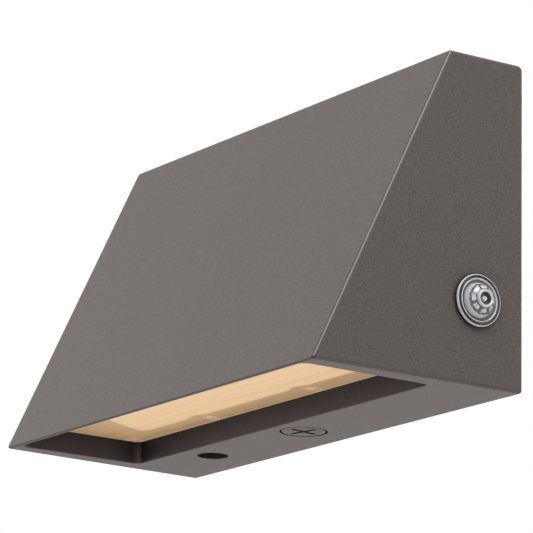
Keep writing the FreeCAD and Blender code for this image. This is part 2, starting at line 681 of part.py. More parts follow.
def drillLensScrews(body, name, offset, radius, length):
    sketch = newSketch(body, name + "Outline", "XY_Plane", offset)
    for x, depth in lensScrews:
        drawCircle(sketch, x, at(depth), radius + " + screw_pass")
    pocket(body, sketch, length, name, reverse=True)


def makeLens():
    body = newBody("lens")
    pad(body, lensOutline(body, "LensOutline", lensZ), "lens_thick", "LensPlate")
    roundEdges(body, "recess_round - lens_fit", "LensRound", lensCorner)
    zone = zoneOutline(body, "ZoneOutline", "XY_Plane", lensZ + " - zone_step")
    pad(body, zone, "zone_step", "BrightZone")
    roundEdges(body, "zone_round", "ZoneRound",
               lambda edge: insideZone(edge) and middle(edge).z < size(lensZ))
    scallops = newSketch(body, "ScallopOutline", "XY_Plane", lensZ + " - zone_step")
    for x, depth in lensScrews:
        if "corner" not in x:
            drawCircle(scallops, x, at(depth), "scallop")
    pocket(body, scallops, "zone_step", "Scallops", reverse=True)
    drillLensScrews(body, "LensHoles", lensZ, "lens_screw_r", "lens_thick")
    drillLensScrews(body, "LensCounterbores", lensZ, "lens_screw_head_r", "lens_screw_head")
    fluteRoom = "zone_front - zone_back - 2*zone_round"
    flute = newSketch(body, "FluteProfile", "YZ_Plane")
    start = "zone_back + zone_round"
    drawPolygon(flute, [(at(start), gasketZ), (at(start + " + flute_pitch"), gasketZ),
                        (at(start + " + flute_pitch/2"), gasketZ + " - flute_depth")])
    groove = pocket(body, flute, "zone_front_width - 2*zone_round", "Flute", midplane=True)
    count = "floor((%s)/flute_pitch)" % fluteRoom
    repeat(body, [groove], flute, "H_Axis", "flute_pitch*(%s - 1)" % count, count, "Flutes",
           backwards=True)


def makeLensGasket():
    body = newBody("lens_gasket")
    pad(body, lensOutline(body, "GasketOutline", gasketZ), "gasket_thick", "GasketSheet")
    roundEdges(body, "recess_round - lens_fit", "GasketRound", lensCorner)
    opening = zoneOutline(body, "GasketOpening", "XY_Plane", gasketZ, grow="lens_fit")
    pocket(body, opening, "gasket_thick", "GasketWindow", reverse=True)
    drillLensScrews(body, "GasketHoles", gasketZ, "lens_screw_r", "gasket_thick")


def makeScrews(name, places, seatZ, down, headR, headTall, shankR, shankLong, crossWide):
    """Pan head screws with a cross recess; down puts the heads below the seat."""
    body = newBody(name)
    heads = newSketch(body, "Heads", "XY_Plane", seatZ)
    for x, depth in places:
        drawCircle(heads, x, at(depth), headR)
    pad(body, heads, headTall, "HeadPads", reverse=down)
    endZ = "%s %s %s" % (seatZ, "-" if down else "+", headTall)
    bevelEdges(body, headTall + "/3", "HeadBevel",
               lambda edge: near(middle(edge).z, size(endZ)) and near(spanAlong(edge, 2), 0))
    shanks = newSketch(body, "Shanks", "XY_Plane", seatZ)
    for x, depth in places:
        drawCircle(shanks, x, at(depth), shankR)
    pad(body, shanks, shankLong, "ShankPads", reverse=not down)
    for turn in ("Across", "Along"):
        slots = newSketch(body, "Recess" + turn, "XY_Plane", endZ)
        half = "(%s*0.55)" % headR
        thin = "(%s)" % crossWide
        reach, width = (half, thin) if turn == "Across" else (thin, half)
        for x, depth in places:
            drawBox(slots, "(%s) - %s" % (x, reach), "(%s) + %s" % (x, reach),
                    at(depth) + " - " + width, at(depth) + " + " + width)
        pocket(body, slots, headTall + "/2", "Cut" + turn, reverse=down)


# ---------------- lamp board, its chips, pad and reflector

boardScrews = [("board_screw_x*(%d)" % step, "(board_back + board_front)/2") for step in (-1, 0, 1)]
chipRows = ["(board_back + board_front)/2 - chip_row/2", "(board_back + board_front)/2 + chip_row/2"]
chipStart = "-chip_pitch*(chip_count - 1)/2"
chipSpan = "chip_pitch*(chip_count - 1)"


def makeBoard():
    pads = newBody("thermal_pad")
    board = newBody("led_board")
    for body, name, low, thick in ((pads, "ThermalPad", ceilingZ + " - pad_thick", "pad_thick"),
                                   (board, "Board", boardZ, "board_thick")):
        outline = newSketch(body, name + "Outline", "XY_Plane", low)
        drawBox(outline, "-board_width/2", "board_width/2", at("board_front"), at("board_back"))
        pad(body, outline, thick, name)
        holes = newSketch(body, name + "Holes", "XY_Plane", low)
        for x, depth in boardScrews:
            drawCircle(holes, x, at(depth), "board_screw_r + screw_pass")
        pocket(body, holes, thick, name + "Drilled", reverse=True)
    chips = newBody("led_chips")
    outline = newSketch(chips, "ChipOutline", "XY_Plane", boardZ)
    for depth in chipRows:
        drawBox(outline, chipStart + " - chip/2", chipStart + " + chip/2",
                at(depth) + " - chip/2", at(depth) + " + chip/2")
    chip = pad(chips, outline, "chip_height", "Chip", reverse=True)
    repeat(chips, [chip], outline, "H_Axis", chipSpan, "chip_count", "Chips")
    connector = newBody("board_connector")
    outline = newSketch(connector, "ConnectorOutline", "XY_Plane", boardZ)
    half = "(lead_spacing/2 + lead_r + wall/2)"
    drawBox(outline, "-board_width/2", "-board_width/2 + connector_width",
            at("lead_hole_depth + " + half), at("lead_hole_depth - " + half))
    pad(connector, outline, connectorTall, "ConnectorBlock", reverse=True)


connectorTall = "(lead_r*2 + reflector_thick)"


def makeReflector():
    body = newBody("reflector")
    shrink = "-reflector_gap"
    outer = zoneOutline(body, "ReflectorOutline", "XY_Plane", reflectorLowZ, grow=shrink)
    pad(body, outer, reflectorTall, "ReflectorTray")
    roundEdges(body, "zone_round - reflector_gap", "ReflectorRound",
               lambda edge: insideZone(edge, shrink))
    inner = zoneOutline(body, "ReflectorHollow", "XY_Plane", reflectorLowZ,
                        grow="-reflector_gap - reflector_thick")
    pocket(body, inner, reflectorTall + " - reflector_thick", "ReflectorHollowed", reverse=True)
    ports = newSketch(body, "ReflectorPorts", "XY_Plane", reflectorTopZ)
    for depth in chipRows:
        drawBox(ports, chipStart + " - chip", chipStart + " + chip", at(depth) + " - chip", at(depth) + " + chip")
    port = pocket(body, ports, "reflector_thick", "ReflectorPort")
    repeat(body, [port], ports, "H_Axis", chipSpan, "chip_count", "ReflectorPortRow")


reflectorLowZ = ledgeZ + " + reflector_gap"
reflectorTopZ = "%s - %s - reflector_gap" % (boardZ, connectorTall)
reflectorTall = "(%s) - (%s)" % (reflectorTopZ, reflectorLowZ)

# ---------------- driver and terminal block


def makeDriver():
    case = newBody("driver_case")
    outline = newSketch(case, "CaseOutline", "YZ_Plane", "driver_x - driver_long/2")
    top = footZ + " + driver_tall"
    drawBox(outline, at("driver_back + driver_wide"), at("driver_back"), footZ, top)
    pad(case, outline, "driver_long", "CaseBody")
    roundEdges(case, "wall/2", "CaseRound",
               lambda edge: spanAlong(edge, 0) > 1 and near(middle(edge).z, size(top)))
    grooves = newSketch(case, "GrooveProfile", "YZ_Plane", "driver_x - driver_long/2")
    drawBox(grooves, at("driver_back + driver_wide/5 + wall"), at("driver_back + driver_wide/5"),
            top + " - wall/3", top)
    groove = pocket(case, grooves, "driver_long", "Groove", reverse=True)
    repeat(case, [groove], grooves, "H_Axis", "driver_wide/2", "3", "Grooves", backwards=True)
    for name, side, ears in (("driver_output_cap", "-", driverFeet[:2]), ("driver_input_cap", "+", driverFeet[2:])):
        cap = newBody(name)
        start = "driver_x %s driver_long/2" % side
        profile = newSketch(cap, "CapOutline", "YZ_Plane", start)
        drawBox(profile, at("driver_back + driver_wide"), at("driver_back"), footZ, top)
        pad(cap, profile, "driver_cap", "CapBody", reverse=side == "-")
        roundEdges(cap, "wall/2", "CapRound",
                   lambda edge: spanAlong(edge, 0) > 1 and near(middle(edge).z, size(top)))
        ear = newSketch(cap, "EarOutline", "YZ_Plane", "%s %s driver_cap" % (start, side))
        drawBox(ear, at("driver_back + driver_wide"), at("driver_back"), footZ,
                footZ + " + driver_ear_thick")
        pad(cap, ear, "driver_ear", "Ear", reverse=side == "-")
        holes = newSketch(cap, "EarHoles", "XY_Plane", footZ)
        for x, depth in ears:
            drawCircle(holes, x, at(depth), "fix_screw_r + screw_pass")
        pocket(cap, holes, "driver_ear_thick", "EarDrilled", reverse=True)


def makeTerminalBlock():
    body = newBody("terminal_block")
    low = bottomZ + " + wall + foot_height"
    ears = newSketch(body, "BlockEars", "XY_Plane", low)
    half = "(block_long/2 + block_ear)"
    drawBox(ears, "block_x - " + half, "block_x + " + half, at("block_back + block_wide"), at("block_back"))
    pad(body, ears, "block_ear_thick", "BlockBase")
    tower = newSketch(body, "BlockTower", "XY_Plane", low)
    drawBox(tower, "block_x - block_long/2", "block_x + block_long/2",
            at("block_back + block_wide"), at("block_back"))
    pad(body, tower, "block_tall", "BlockBody")
    holes = newSketch(body, "BlockHoles", "XY_Plane", low)
    for x, depth in blockFeet:
        drawCircle(holes, x, at(depth), "fix_screw_r + screw_pass")
    pocket(body, holes, "block_ear_thick", "BlockDrilled", reverse=True)
    wires = newSketch(body, "WireHoles", "XY_Plane", low + " + block_tall")
    for depth in poleRows:
        drawCircle(wires, poleX(0), at(depth), "pole_hole_r")
    wire = pocket(body, wires, "pole_hole_deep", "WireHole")
    repeat(body, [wire], wires, "H_Axis", "pole_pitch*(pole_count - 1)", "pole_count", "WireHoleRow")


def poleX(index):
    return "block_x + pole_pitch*(%d - (pole_count - 1)/2)" % index


poleRows = ["block_back + block_wide/2 - pole_row/2", "block_back + block_wide/2 + pole_row/2"]
poleEndZ = bottomZ + " + wall + foot_height + block_tall - pole_hole_deep"

# ---------------- wall plate, its gasket, grommet and grounding screw

plateLow = forkZ
plateHigh = "hinge_height - lug_thick/2 - hook_seat"


def drawWallOpenings(sketch, wireRadius):
    for side in "-+":
        drawSlot(sketch, side + "box_slot_x/2", "0", "slot_long/2 - slot_r", "slot_r")
        drawSlot(sketch, "0", side + "box_slot_z/2", "slot_long/2 - slot_r", "slot_r", upright=True)
        for other in "-+":
            drawCircle(sketch, side + "anchor_x/2", other + "anchor_z/2", "anchor_r")
    drawCircle(sketch, "0", "0", wireRadius)


def makeWallPlate():
    gasket = newBody("wall_gasket")
    plate = newBody("wall_plate")
    for body, name, offset, thick, wire in ((gasket, "Gasket", "0", "gasket_wall", "grommet_flange_r + screw_pass"),
                                            (plate, "Plate", "gasket_wall", "plate_thick", "wire_hole_r")):
        outline = newSketch(body, name + "Outline", "XZ_Plane", offset)
        drawBox(outline, "-plate_width/2", "plate_width/2", plateLow, plateHigh)
        pad(body, outline, thick, name + "Sheet")
        roundEdges(body, "plate_round", name + "Round",
                   lambda edge: near(spanAlong(edge, 0), 0) and near(spanAlong(edge, 2), 0))
        openings = newSketch(body, name + "Openings", "XZ_Plane", offset)
        drawWallOpenings(openings, wire)
        drawCircle(openings, "ground_x", "ground_z", "ground_r + screw_fit")
        pocket(body, openings, thick, name + "Opened", reverse=True)
    back = "gasket_wall"
    flange = newSketch(plate, "FlangeProfile", "YZ_Plane")
    drawBox(flange, "-(%s + plate_flange)" % plateFront, "-" + back, plateLow, forkTopZ)
    pad(plate, flange, "plate_width - 2*plate_round", "LowerFlange", midplane=True)
    fork = newSketch(plate, "ForkOutline", "XY_Plane", forkZ)
    drawBox(fork, "lock_x - tab_width/2", "lock_x + tab_width/2", lockY + " - tab_nose", "-" + back)
    pad(plate, fork, "plate_thick", "Fork")
    roundEdges(plate, "tab_slot_r", "ForkRound",
               lambda edge: isUpright(edge) and near(middle(edge).y, size(lockY + " - tab_nose")))
    slot = newSketch(plate, "ForkSlotOutline", "XY_Plane", forkZ)
    drawBox(slot, "lock_x - tab_slot_r", "lock_x + tab_slot_r", lockY + " - tab_nose", lockY)
    pocket(plate, slot, "plate_thick", "ForkSlot", reverse=True)
    slotEnd = newSketch(plate, "ForkSlotEndOutline", "XY_Plane", forkZ)
    drawCircle(slotEnd, "lock_x", lockY, "tab_slot_r")
    pocket(plate, slotEnd, "plate_thick", "ForkSlotEnd", reverse=True)
    hooks = newSketch(plate, "HookProfile", "YZ_Plane", "-hook_x - hook_width/2")
    hookFront = "-(hinge_depth + hook_reach)"
    drawPolygon(hooks, [("-" + back, plateHigh + " - plate_thick"), (hookFront, plateHigh + " - plate_thick"),
                        (hookFront, plateHigh + " + hook_lip"),
                        (hookFront + " + plate_thick", plateHigh + " + hook_lip"),
                        (hookFront + " + plate_thick", plateHigh), ("-" + back, plateHigh)])
    hook = pad(plate, hooks, "hook_width", "Hook")
    repeat(plate, [hook], hooks, "N_Axis", "2*hook_x", "2", "Hooks")


def makeWireGrommet():
    body = newBody("wire_grommet")
    profile = newSketch(body, "GrommetProfile", "XY_Plane")
    neck = "wire_hole_r"
    front = "-(%s)" % plateFront
    drawPolygon(profile, [("grommet_bore_r", "-screw_pass"), ("grommet_flange_r", "-screw_pass"),
                          ("grommet_flange_r", "-gasket_wall"), (neck, "-gasket_wall"), (neck, front),
                          ("grommet_flange_r", front), ("grommet_flange_r - wall/2", front + " - grommet_flange"),
                          ("grommet_bore_r", front + " - grommet_flange")])
    revolve(body, profile, "GrommetRing")


def makeGroundScrew():
    body = newBody("ground_screw")
    head = newSketch(body, "HeadOutline", "XZ_Plane", plateFront)
    drawCircle(head, "ground_x", "ground_z", "ground_head_r")
    pad(body, head, "ground_r", "Head")
    bevelEdges(body, "ground_r/3", "HeadBevel",
               lambda edge: near(middle(edge).y, -size(plateFront + " + ground_r")) and near(spanAlong(edge, 1), 0))
    shank = newSketch(body, "ShankOutline", "XZ_Plane", plateFront)
    drawCircle(shank, "ground_x", "ground_z", "ground_r")
    pad(body, shank, plateFront, "Shank", reverse=True)
    slot = newSketch(body, "SlotOutline", "XZ_Plane", plateFront + " + ground_r")
    drawBox(slot, "ground_x - ground_head_r", "ground_x + ground_head_r",
            "ground_z - screw_pass*2", "ground_z + screw_pass*2")
    pocket(body, slot, "ground_r/2", "Slot")


# ---------------- locking screw, its ring and its clamp bar

lockHeadZ = bottomZ + " + access_long"


def makeLock():
    makeScrews("locking_screw", [("lock_x", "lock_depth")], lockHeadZ, True, "lock_head_r", "lock_head",
               "lock_r", "wall + lock_reach", "lock_r/5")
    ring = newBody("retaining_ring")
    outline = newSketch(ring, "RingOutline", "XY_Plane", bossEndZ)
    drawCircle(outline, "lock_x", lockY, "retainer_r")
    drawCircle(outline, "lock_x", lockY, "lock_r")
    pad(ring, outline, "retainer_thick", "Ring")
    gap = newSketch(ring, "RingGapOutline", "XY_Plane", bossEndZ)
    drawBox(gap, "lock_x - lock_r*0.7", "lock_x + lock_r*0.7", lockY + " - retainer_r", lockY + " - lock_r*0.5")
    pocket(ring, gap, "retainer_thick", "RingGap", reverse=True)
    bar = newBody("clamp_bar")
    outline = newSketch(bar, "BarOutline", "XY_Plane", forkTopZ + " + clamp_seat")
    drawBox(outline, "lock_x - clamp_width/2", "lock_x + clamp_width/2",
            at("box_back - clamp_guide"), lockY + " + clamp_rear")
    pad(bar, outline, "clamp_thick", "Bar")
    roundEdges(bar, "clamp_thick/4", "BarRound", isUpright)
    bore = newSketch(bar, "BarBoreOutline", "XY_Plane", forkTopZ + " + clamp_seat")
    drawCircle(bore, "lock_x", lockY, "lock_r + screw_fit")
    pocket(bar, bore, "clamp_thick", "BarBore", reverse=True)


# ---------------- port plug and its sealing ring

portSeat = "(port_head + 2*port_seal_r)"
portDeep = "(%s + port_thread + screw_end_gap)" % portSeat


def makePort():
    seal = newBody("port_seal")
    profile = newSketch(seal, "SealProfile", "XZ_Plane", "rim_gap + port_depth")
    sealLow = bottomZ + " + port_head"
    drawBox(profile, "port_thread_r + screw_fit", "port_head_r - screw_fit",
            sealLow + " + screw_fit", sealLow + " + 2*port_seal_r - screw_fit")
    revolve(seal, profile, "SealRing")
    plug = newBody("port_plug")
    profile = newSketch(plug, "PlugProfile", "XZ_Plane", "rim_gap + port_depth")
    headTop = bottomZ + " + port_head"
    end = headTop + " + 2*port_seal_r + port_thread"
    drawPolygon(profile, [("0", bottomZ), ("port_head_r", bottomZ), ("port_head_r", headTop),
                          ("port_thread_r", headTop), ("port_thread_r", end + " - port_seal_r"),
                          ("port_thread_r - port_seal_r", end), ("port_bore_r", end),
                          ("port_bore_r", headTop + " + port_seal_r"), ("0", headTop + " + port_seal_r")])
    revolve(plug, profile, "PlugBody")
    for name, turn in (("CrossOne", "cross_turn"), ("CrossTwo", "cross_turn + 90")):
        sketch = newSketch(plug, name, "XY_Plane", bottomZ)
        sketch.setExpression("AttachmentOffset.Base.y", tied(portY))
        sketch.setExpression("AttachmentOffset.Rotation.Angle", tied(turn))
        drawBox(sketch, "-cross_long/2", "cross_long/2", "-cross_wide/2", "cross_wide/2")
        pocket(plug, sketch, "cross_deep", name + "Cut", reverse=True)


# ---------------- photocell, drawn along z and then set in the right side

def setPhotocell(body):
    """Stand the piece on the side face, square to the drafted wall."""
    body.setExpression("Placement.Base.x", tied("width/2 - cell_depth*" + draftTan))
    body.setExpression("Placement.Base.y", tied(at("cell_depth")))
    body.setExpression("Placement.Base.z", tied("cell_height"))
    outwards = FreeCAD.Rotation(FreeCAD.Vector(0, 1, 0), 90)
    draft = FreeCAD.Rotation(FreeCAD.Vector(0, 0, 1), -size("side_draft"))
    body.Placement.Rotation = draft.multiply(outwards)


def makePhotocell():
    flangeTop = "cell_seal + cell_flange"
    lip = "cell_flange/2"
    lens = newBody("photocell_lens")
    profile = newSketch(lens, "LensProfile", "XZ_Plane")
    shellR = "(cell_dome_r - cell_flange)"
    drawPolygon(profile, [
        (shellR, "cell_seal"), ("cell_flange_r - cell_flange/3", "cell_seal"), ("cell_flange_r", "cell_seal + cell_flange/3"),
        ("cell_flange_r", flangeTop + " - cell_flange/4"), ("cell_flange_r - cell_flange/3", flangeTop),
        ("cell_step_r + cell_flange/3", flangeTop + " - cell_flange/3"), ("cell_step_r", flangeTop),
        ("cell_step_r - cell_flange/3", flangeTop + " + " + lip), ("cell_dome_r", flangeTop + " + " + lip),
        ("cell_dome_r - cell_flange/3", "cell_reach*0.52"), ("cell_dome_r*0.82", "cell_reach*0.66"),
        ("cell_nose_r + cell_flange", "cell_reach*0.74"), ("cell_nose_r", "cell_reach*0.8"),
        ("cell_nose_r", "cell_reach - cell_flange/3"), ("cell_nose_r - cell_flange/3", "cell_reach"),
        ("cell_nose_hole_r", "cell_reach"), ("cell_nose_hole_r", "cell_reach*0.7"),
        ("0", "cell_reach*0.7"), ("0", "cell_reach*0.56"),
        (shellR + " - cell_flange", "cell_reach*0.56"), (shellR, "cell_reach*0.44")])
    revolve(lens, profile, "LensShell")
    washer = newBody("photocell_washer")
    profile = newSketch(washer, "WasherProfile", "XZ_Plane")
    drawBox(profile, "cell_stem_r + screw_pass/2", "cell_flange_r - cell_flange/2", "0", "cell_seal")
    revolve(washer, profile, "WasherRing")
    stem = newBody("photocell_body")
    profile = newSketch(stem, "StemProfile", "XZ_Plane")
    bore = "cell_stem_r - wall/2"
    drawPolygon(profile, [
        ("0", "-cell_stem"), ("cell_stem_r - cell_seal", "-cell_stem"), ("cell_stem_r", "-cell_stem + cell_seal"),
        ("cell_stem_r", "cell_seal"), (shellR + " - screw_fit", "cell_seal"), (shellR + " - screw_fit", "cell_seal*2"),
        (bore, "cell_seal*2"), (bore, "-wall"), ("0", "-wall")])
    revolve(stem, profile, "StemBody")
    sensor = newBody("photocell_sensor")
    profile = newSketch(sensor, "SensorProfile", "XZ_Plane")
    drawPolygon(profile, [
        ("0", "-wall"), (bore + " - screw_fit", "-wall"), (bore + " - screw_fit", "-wall/2"), ("cell_nose_r", "-wall/2"),
        ("cell_nose_r", "cell_seal*3"), ("cell_nose_r - cell_seal", "cell_seal*4"), ("0", "cell_seal*4")])
    revolve(sensor, profile, "SensorBody")
    nut = newBody("photocell_nut")
    outline = newSketch(nut, "NutOutline", "XY_Plane", "-wall - screw_pass")
    corners = [("cell_nut_r*cos(%d)" % angle, "cell_nut_r*sin(%d)" % angle) for angle in range(0, 360, 60)]
    drawPolygon(outline, corners)
    pad(nut, outline, "cell_nut", "NutBlock", reverse=True)
    hole = newSketch(nut, "NutHole", "XY_Plane", "-wall - screw_pass")
    drawCircle(hole, "0", "0", "cell_stem_r + screw_fit")
    pocket(nut, hole, "cell_nut", "NutThread")
    for piece in (lens, washer, stem, sensor, nut):
        setPhotocell(piece)


# ---------------- leads inside the housing

def leadTube(route, radius):
    """Straight runs joined by tangent arcs, each as large as its runs allow."""
    points = [FreeCAD.Vector(*place) for place in route]
    edges = []
    start = points[0]
    for before, corner, after in zip(points, points[1:], points[2:]):
        inward = (before - corner).normalize()
        outward = (after - corner).normalize()
        half = (math.pi - inward.getAngle(outward)) / 2
        shorter = min((before - corner).Length, (after - corner).Length)
        bend = 0.45 * shorter / math.tan(half)
        setback = bend * math.tan(half)
        toCentre = (inward + outward).normalize()
        arcMiddle = corner + toCentre * (bend / math.cos(half) - bend)
        arcStart = corner + inward * setback
        arcEnd = corner + outward * setback
        edges.append(Part.LineSegment(start, arcStart).toShape())
        edges.append(Part.Arc(arcStart, arcMiddle, arcEnd).toShape())
        start = arcEnd
    edges.append(Part.LineSegment(start, points[-1]).toShape())
    path = Part.Wire(edges)
    section = Part.Wire(Part.Circle(points[0], points[1] - points[0], radius).toShape())
    tube = path.makePipeShell([section], True, False)
    expected = path.Length * math.pi * radius ** 2
    if abs(tube.Volume - expected) > 0.01 * expected:
        raise RuntimeError("a lead's volume differs from its length times its section")
    return tube


def makeLead(name, route):
    lead = doc.addObject("Part::Feature", name)
    lead.Label = name
    lead.Shape = leadTube([tuple(size(value) for value in place) for place in route], size("lead_r"))
    subParts.append(lead)


def makeLeads():
    capFace = "driver_x - driver_long/2 - driver_cap"
    leadZ = footZ + " + driver_tall/2"
    for name, side in (("led_lead_red", "-"), ("led_lead_black", "+")):
        y = at("lead_hole_depth %s lead_spacing/2" % side)
        low = "%s - %s/2" % (boardZ, connectorTall)
        makeLead(name, [(capFace, y, leadZ), ("lead_hole_x", y, leadZ), ("lead_hole_x", y, low),
                        ("-board_width/2", y, low)])
    inputFace = "driver_x + driver_long/2 + driver_cap"
    poleY = at(poleRows[1])
    outletY = at("driver_back + driver_wide/2")
    turnX = inputFace + " + driver_wire_out"
    for name, pole, drop in (("driver_lead_black", 1, "driver_wire_drop"),
                             ("driver_lead_white", 0, "driver_wire_drop + driver_wire_step")):
        z = "%s + driver_tall - (%s)" % (footZ, drop)
        makeLead(name, [(inputFace, outletY, z), (turnX, outletY, z),
                        (poleX(pole), poleY, z + " - driver_wire_fall"), (poleX(pole), poleY, poleEndZ)])
    endX = "(width/2 - cell_depth*%s - cell_stem*cos(side_draft))" % draftTan
    endY = "(%s + cell_stem*sin(side_draft))" % at("cell_depth")
    for name, side, pole in (("photocell_lead_red", "+", 2), ("photocell_lead_black", "-", 3)):
        startX = "(%s %s cell_wire_side*%s)" % (endX, side, draftTan)
        startY = "(%s %s cell_wire_side)" % (endY, side)
        turnY = "%s + (%s - (%s))*%s" % (startY, startX, poleX(pole), draftTan)
        z = "cell_height %s cell_wire_drop" % side
        makeLead(name, [(startX, startY, z), (poleX(pole), turnY, z), (poleX(pole), poleY, z + " - pole_row*2"),
                        (poleX(pole), poleY, poleEndZ)])


def makeLeadGrommet():
    body = newBody("lead_grommet")
    ring = newSketch(body, "NeckOutline", "XY_Plane", ceilingZ)
    y = at("lead_hole_depth")
    for radius in ("lead_hole_r", "lead_grommet_r"):
        drawCircle(ring, "lead_hole_x", y, radius)
    pad(body, ring, "ceiling", "Neck")
    flange = newSketch(body, "FlangeOutline", "XY_Plane", boxTopZ)
    for radius in ("lead_grommet_flange_r", "lead_grommet_r"):
        drawCircle(flange, "lead_hole_x", y, radius)
    pad(body, flange, "lead_grommet_flange", "Flange")


# ---------------- the whole assembly

makeWallPlate()
makeWireGrommet()
makeGroundScrew()
makeHousing()
makeLens()
makeLensGasket()
makeScrews("lens_screws", lensScrews, lensZ + " + lens_screw_head", True, "lens_screw_head_r",
           "lens_screw_head", "lens_screw_r", "lens_screw_length - lens_screw_head", "lens_screw_r/4")
makeBoard()
makeScrews("board_screws", boardScrews, boardZ, True, "board_screw_head_r", "board_screw_head",
           "board_screw_r", "board_thick + pad_thick + ceiling - 2*screw_end_gap", "board_screw_r/4")
makeReflector()
makeDriver()
makeTerminalBlock()
makeScrews("driver_screws", driverFeet, footZ + " + driver_ear_thick", False, "fix_screw_head_r", "fix_screw_head",
           "fix_screw_r", "driver_ear_thick + fix_screw_length", "fix_screw_r/4")
makeScrews("block_screws", blockFeet, bottomZ + " + wall + foot_height + block_ear_thick", False,
           "fix_screw_head_r", "fix_screw_head", "fix_screw_r", "block_ear_thick + fix_screw_length",
           "fix_screw_r/4")
makeLeadGrommet()
makeLeads()
makePhotocell()
makeLock()
makePort()

doc.recompute()
for item in doc.Objects:
    if "Invalid" in item.State or "Error" in item.State:
        raise RuntimeError("%s failed: %s" % (item.Name, item.State))
os.makedirs("parts", exist_ok=True)
for piece in subParts:
    shape = piece.Shape
    if shape.isNull() or not shape.isValid() or not shape.Solids:
        raise RuntimeError("%s has no valid solid" % piece.Label)
    shape.exportStep("parts/%s.step" % piece.Label)
print("wrote %d sub-parts" % len(subParts))
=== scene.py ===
import bpy
import bmesh
import math
from mathutils import Matrix, Vector


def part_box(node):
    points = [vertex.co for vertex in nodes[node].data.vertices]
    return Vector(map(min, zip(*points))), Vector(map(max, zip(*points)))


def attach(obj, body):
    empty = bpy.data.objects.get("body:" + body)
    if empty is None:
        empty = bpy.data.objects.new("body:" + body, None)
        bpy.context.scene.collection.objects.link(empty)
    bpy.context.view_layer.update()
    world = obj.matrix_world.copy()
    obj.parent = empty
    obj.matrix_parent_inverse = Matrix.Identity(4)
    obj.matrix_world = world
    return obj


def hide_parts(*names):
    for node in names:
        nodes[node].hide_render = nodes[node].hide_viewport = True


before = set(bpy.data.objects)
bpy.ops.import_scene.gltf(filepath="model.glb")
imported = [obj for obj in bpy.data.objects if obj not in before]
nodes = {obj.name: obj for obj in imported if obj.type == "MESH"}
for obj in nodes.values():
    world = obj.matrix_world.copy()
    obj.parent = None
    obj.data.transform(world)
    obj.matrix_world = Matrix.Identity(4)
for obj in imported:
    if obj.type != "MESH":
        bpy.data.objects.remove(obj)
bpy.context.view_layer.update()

mm = 0.001
# corners of a mesh that lie this close are one corner
sameCorner = 0.001 * mm
print("frame loaded:", len(nodes), "nodes")

# camera, floor and lamps
view = {"azimuth": 55.321, "elevation": -14.591, "roll": 1.203, "place": (1.34676, -0.98626, -0.42614),
        "lens": 225.25, "sensor": 36.0, "clip": (0.05, 60.0)}
studio = {"floorZ": -0.62, "floorSize": 12.0, "floorColour": (0.86, 0.86, 0.85), "floorRoughness": 0.9,
          "sky": 0.3, "overhead": 0.68, "overheadFrom": (0.6, 0.9), "skyTint": (1.0, 0.985, 0.97)}
lamps = {
    # name: place, aim, size, power
    "keyLamp": ((-0.72, -0.75, -0.02), (-0.03, -0.05, 0.0), 0.6, 4.2),
    "fillLamp": ((0.75, -0.12, 0.85), (0.1, -0.05, 0.05), 0.5, 4.2),
    "edgeLamp": ((0.95, -1.28, 1.78), (0.0, -0.08, 0.0), 0.3, 9.0),
    "lowLamp": ((-0.3, -0.25, -0.45), (-0.14, -0.1, -0.08), 0.2, 0.1),
    "backLamp": ((-0.9, 1.7, 0.7), (0.0, 0.0, 0.0), 1.2, 22.0),
}


def makeCamera():
    data = bpy.data.cameras.new("photoCamera")
    data.lens = view["lens"]
    data.sensor_width = view["sensor"]
    data.clip_start, data.clip_end = view["clip"]
    camera = bpy.data.objects.new("photoCamera", data)
    bpy.context.scene.collection.objects.link(camera)
    turn = Matrix.Rotation(math.radians(view["azimuth"]), 4, "Z")
    tip = Matrix.Rotation(math.radians(90 - view["elevation"]), 4, "X")
    roll = Matrix.Rotation(math.radians(view["roll"]), 4, "Z")
    camera.matrix_world = Matrix.Translation(view["place"]) @ turn @ tip @ roll
    bpy.context.scene.camera = camera


def addNode(tree, kind, inputs=None, **values):
    node = tree.nodes.new(kind)
    for key, value in values.items():
        setattr(node, key, value)
    for key, value in (inputs or {}).items():
        node.inputs[key].default_value = value
    return node


def whiteBehind(tree, shader):
    # white for what the camera, glass and metal see, the shader for the light on the object
    path = tree.nodes.new("ShaderNodeLightPath")
    direct = addNode(tree, "ShaderNodeMath", operation="MAXIMUM")
    either = addNode(tree, "ShaderNodeMath", operation="MAXIMUM")
    tree.links.new(path.outputs["Is Camera Ray"], direct.inputs[0])
    tree.links.new(path.outputs["Is Transmission Ray"], direct.inputs[1])
    tree.links.new(direct.outputs[0], either.inputs[0])
    tree.links.new(path.outputs["Is Glossy Ray"], either.inputs[1])
    white = addNode(tree, "ShaderNodeBackground", {"Color": (1, 1, 1, 1), "Strength": 1.0})
    mix = tree.nodes.new("ShaderNodeMixShader")
    tree.links.new(either.outputs[0], mix.inputs[0])
    tree.links.new(shader, mix.inputs[1])
    tree.links.new(white.outputs[0], mix.inputs[2])
    return mix.outputs[0]


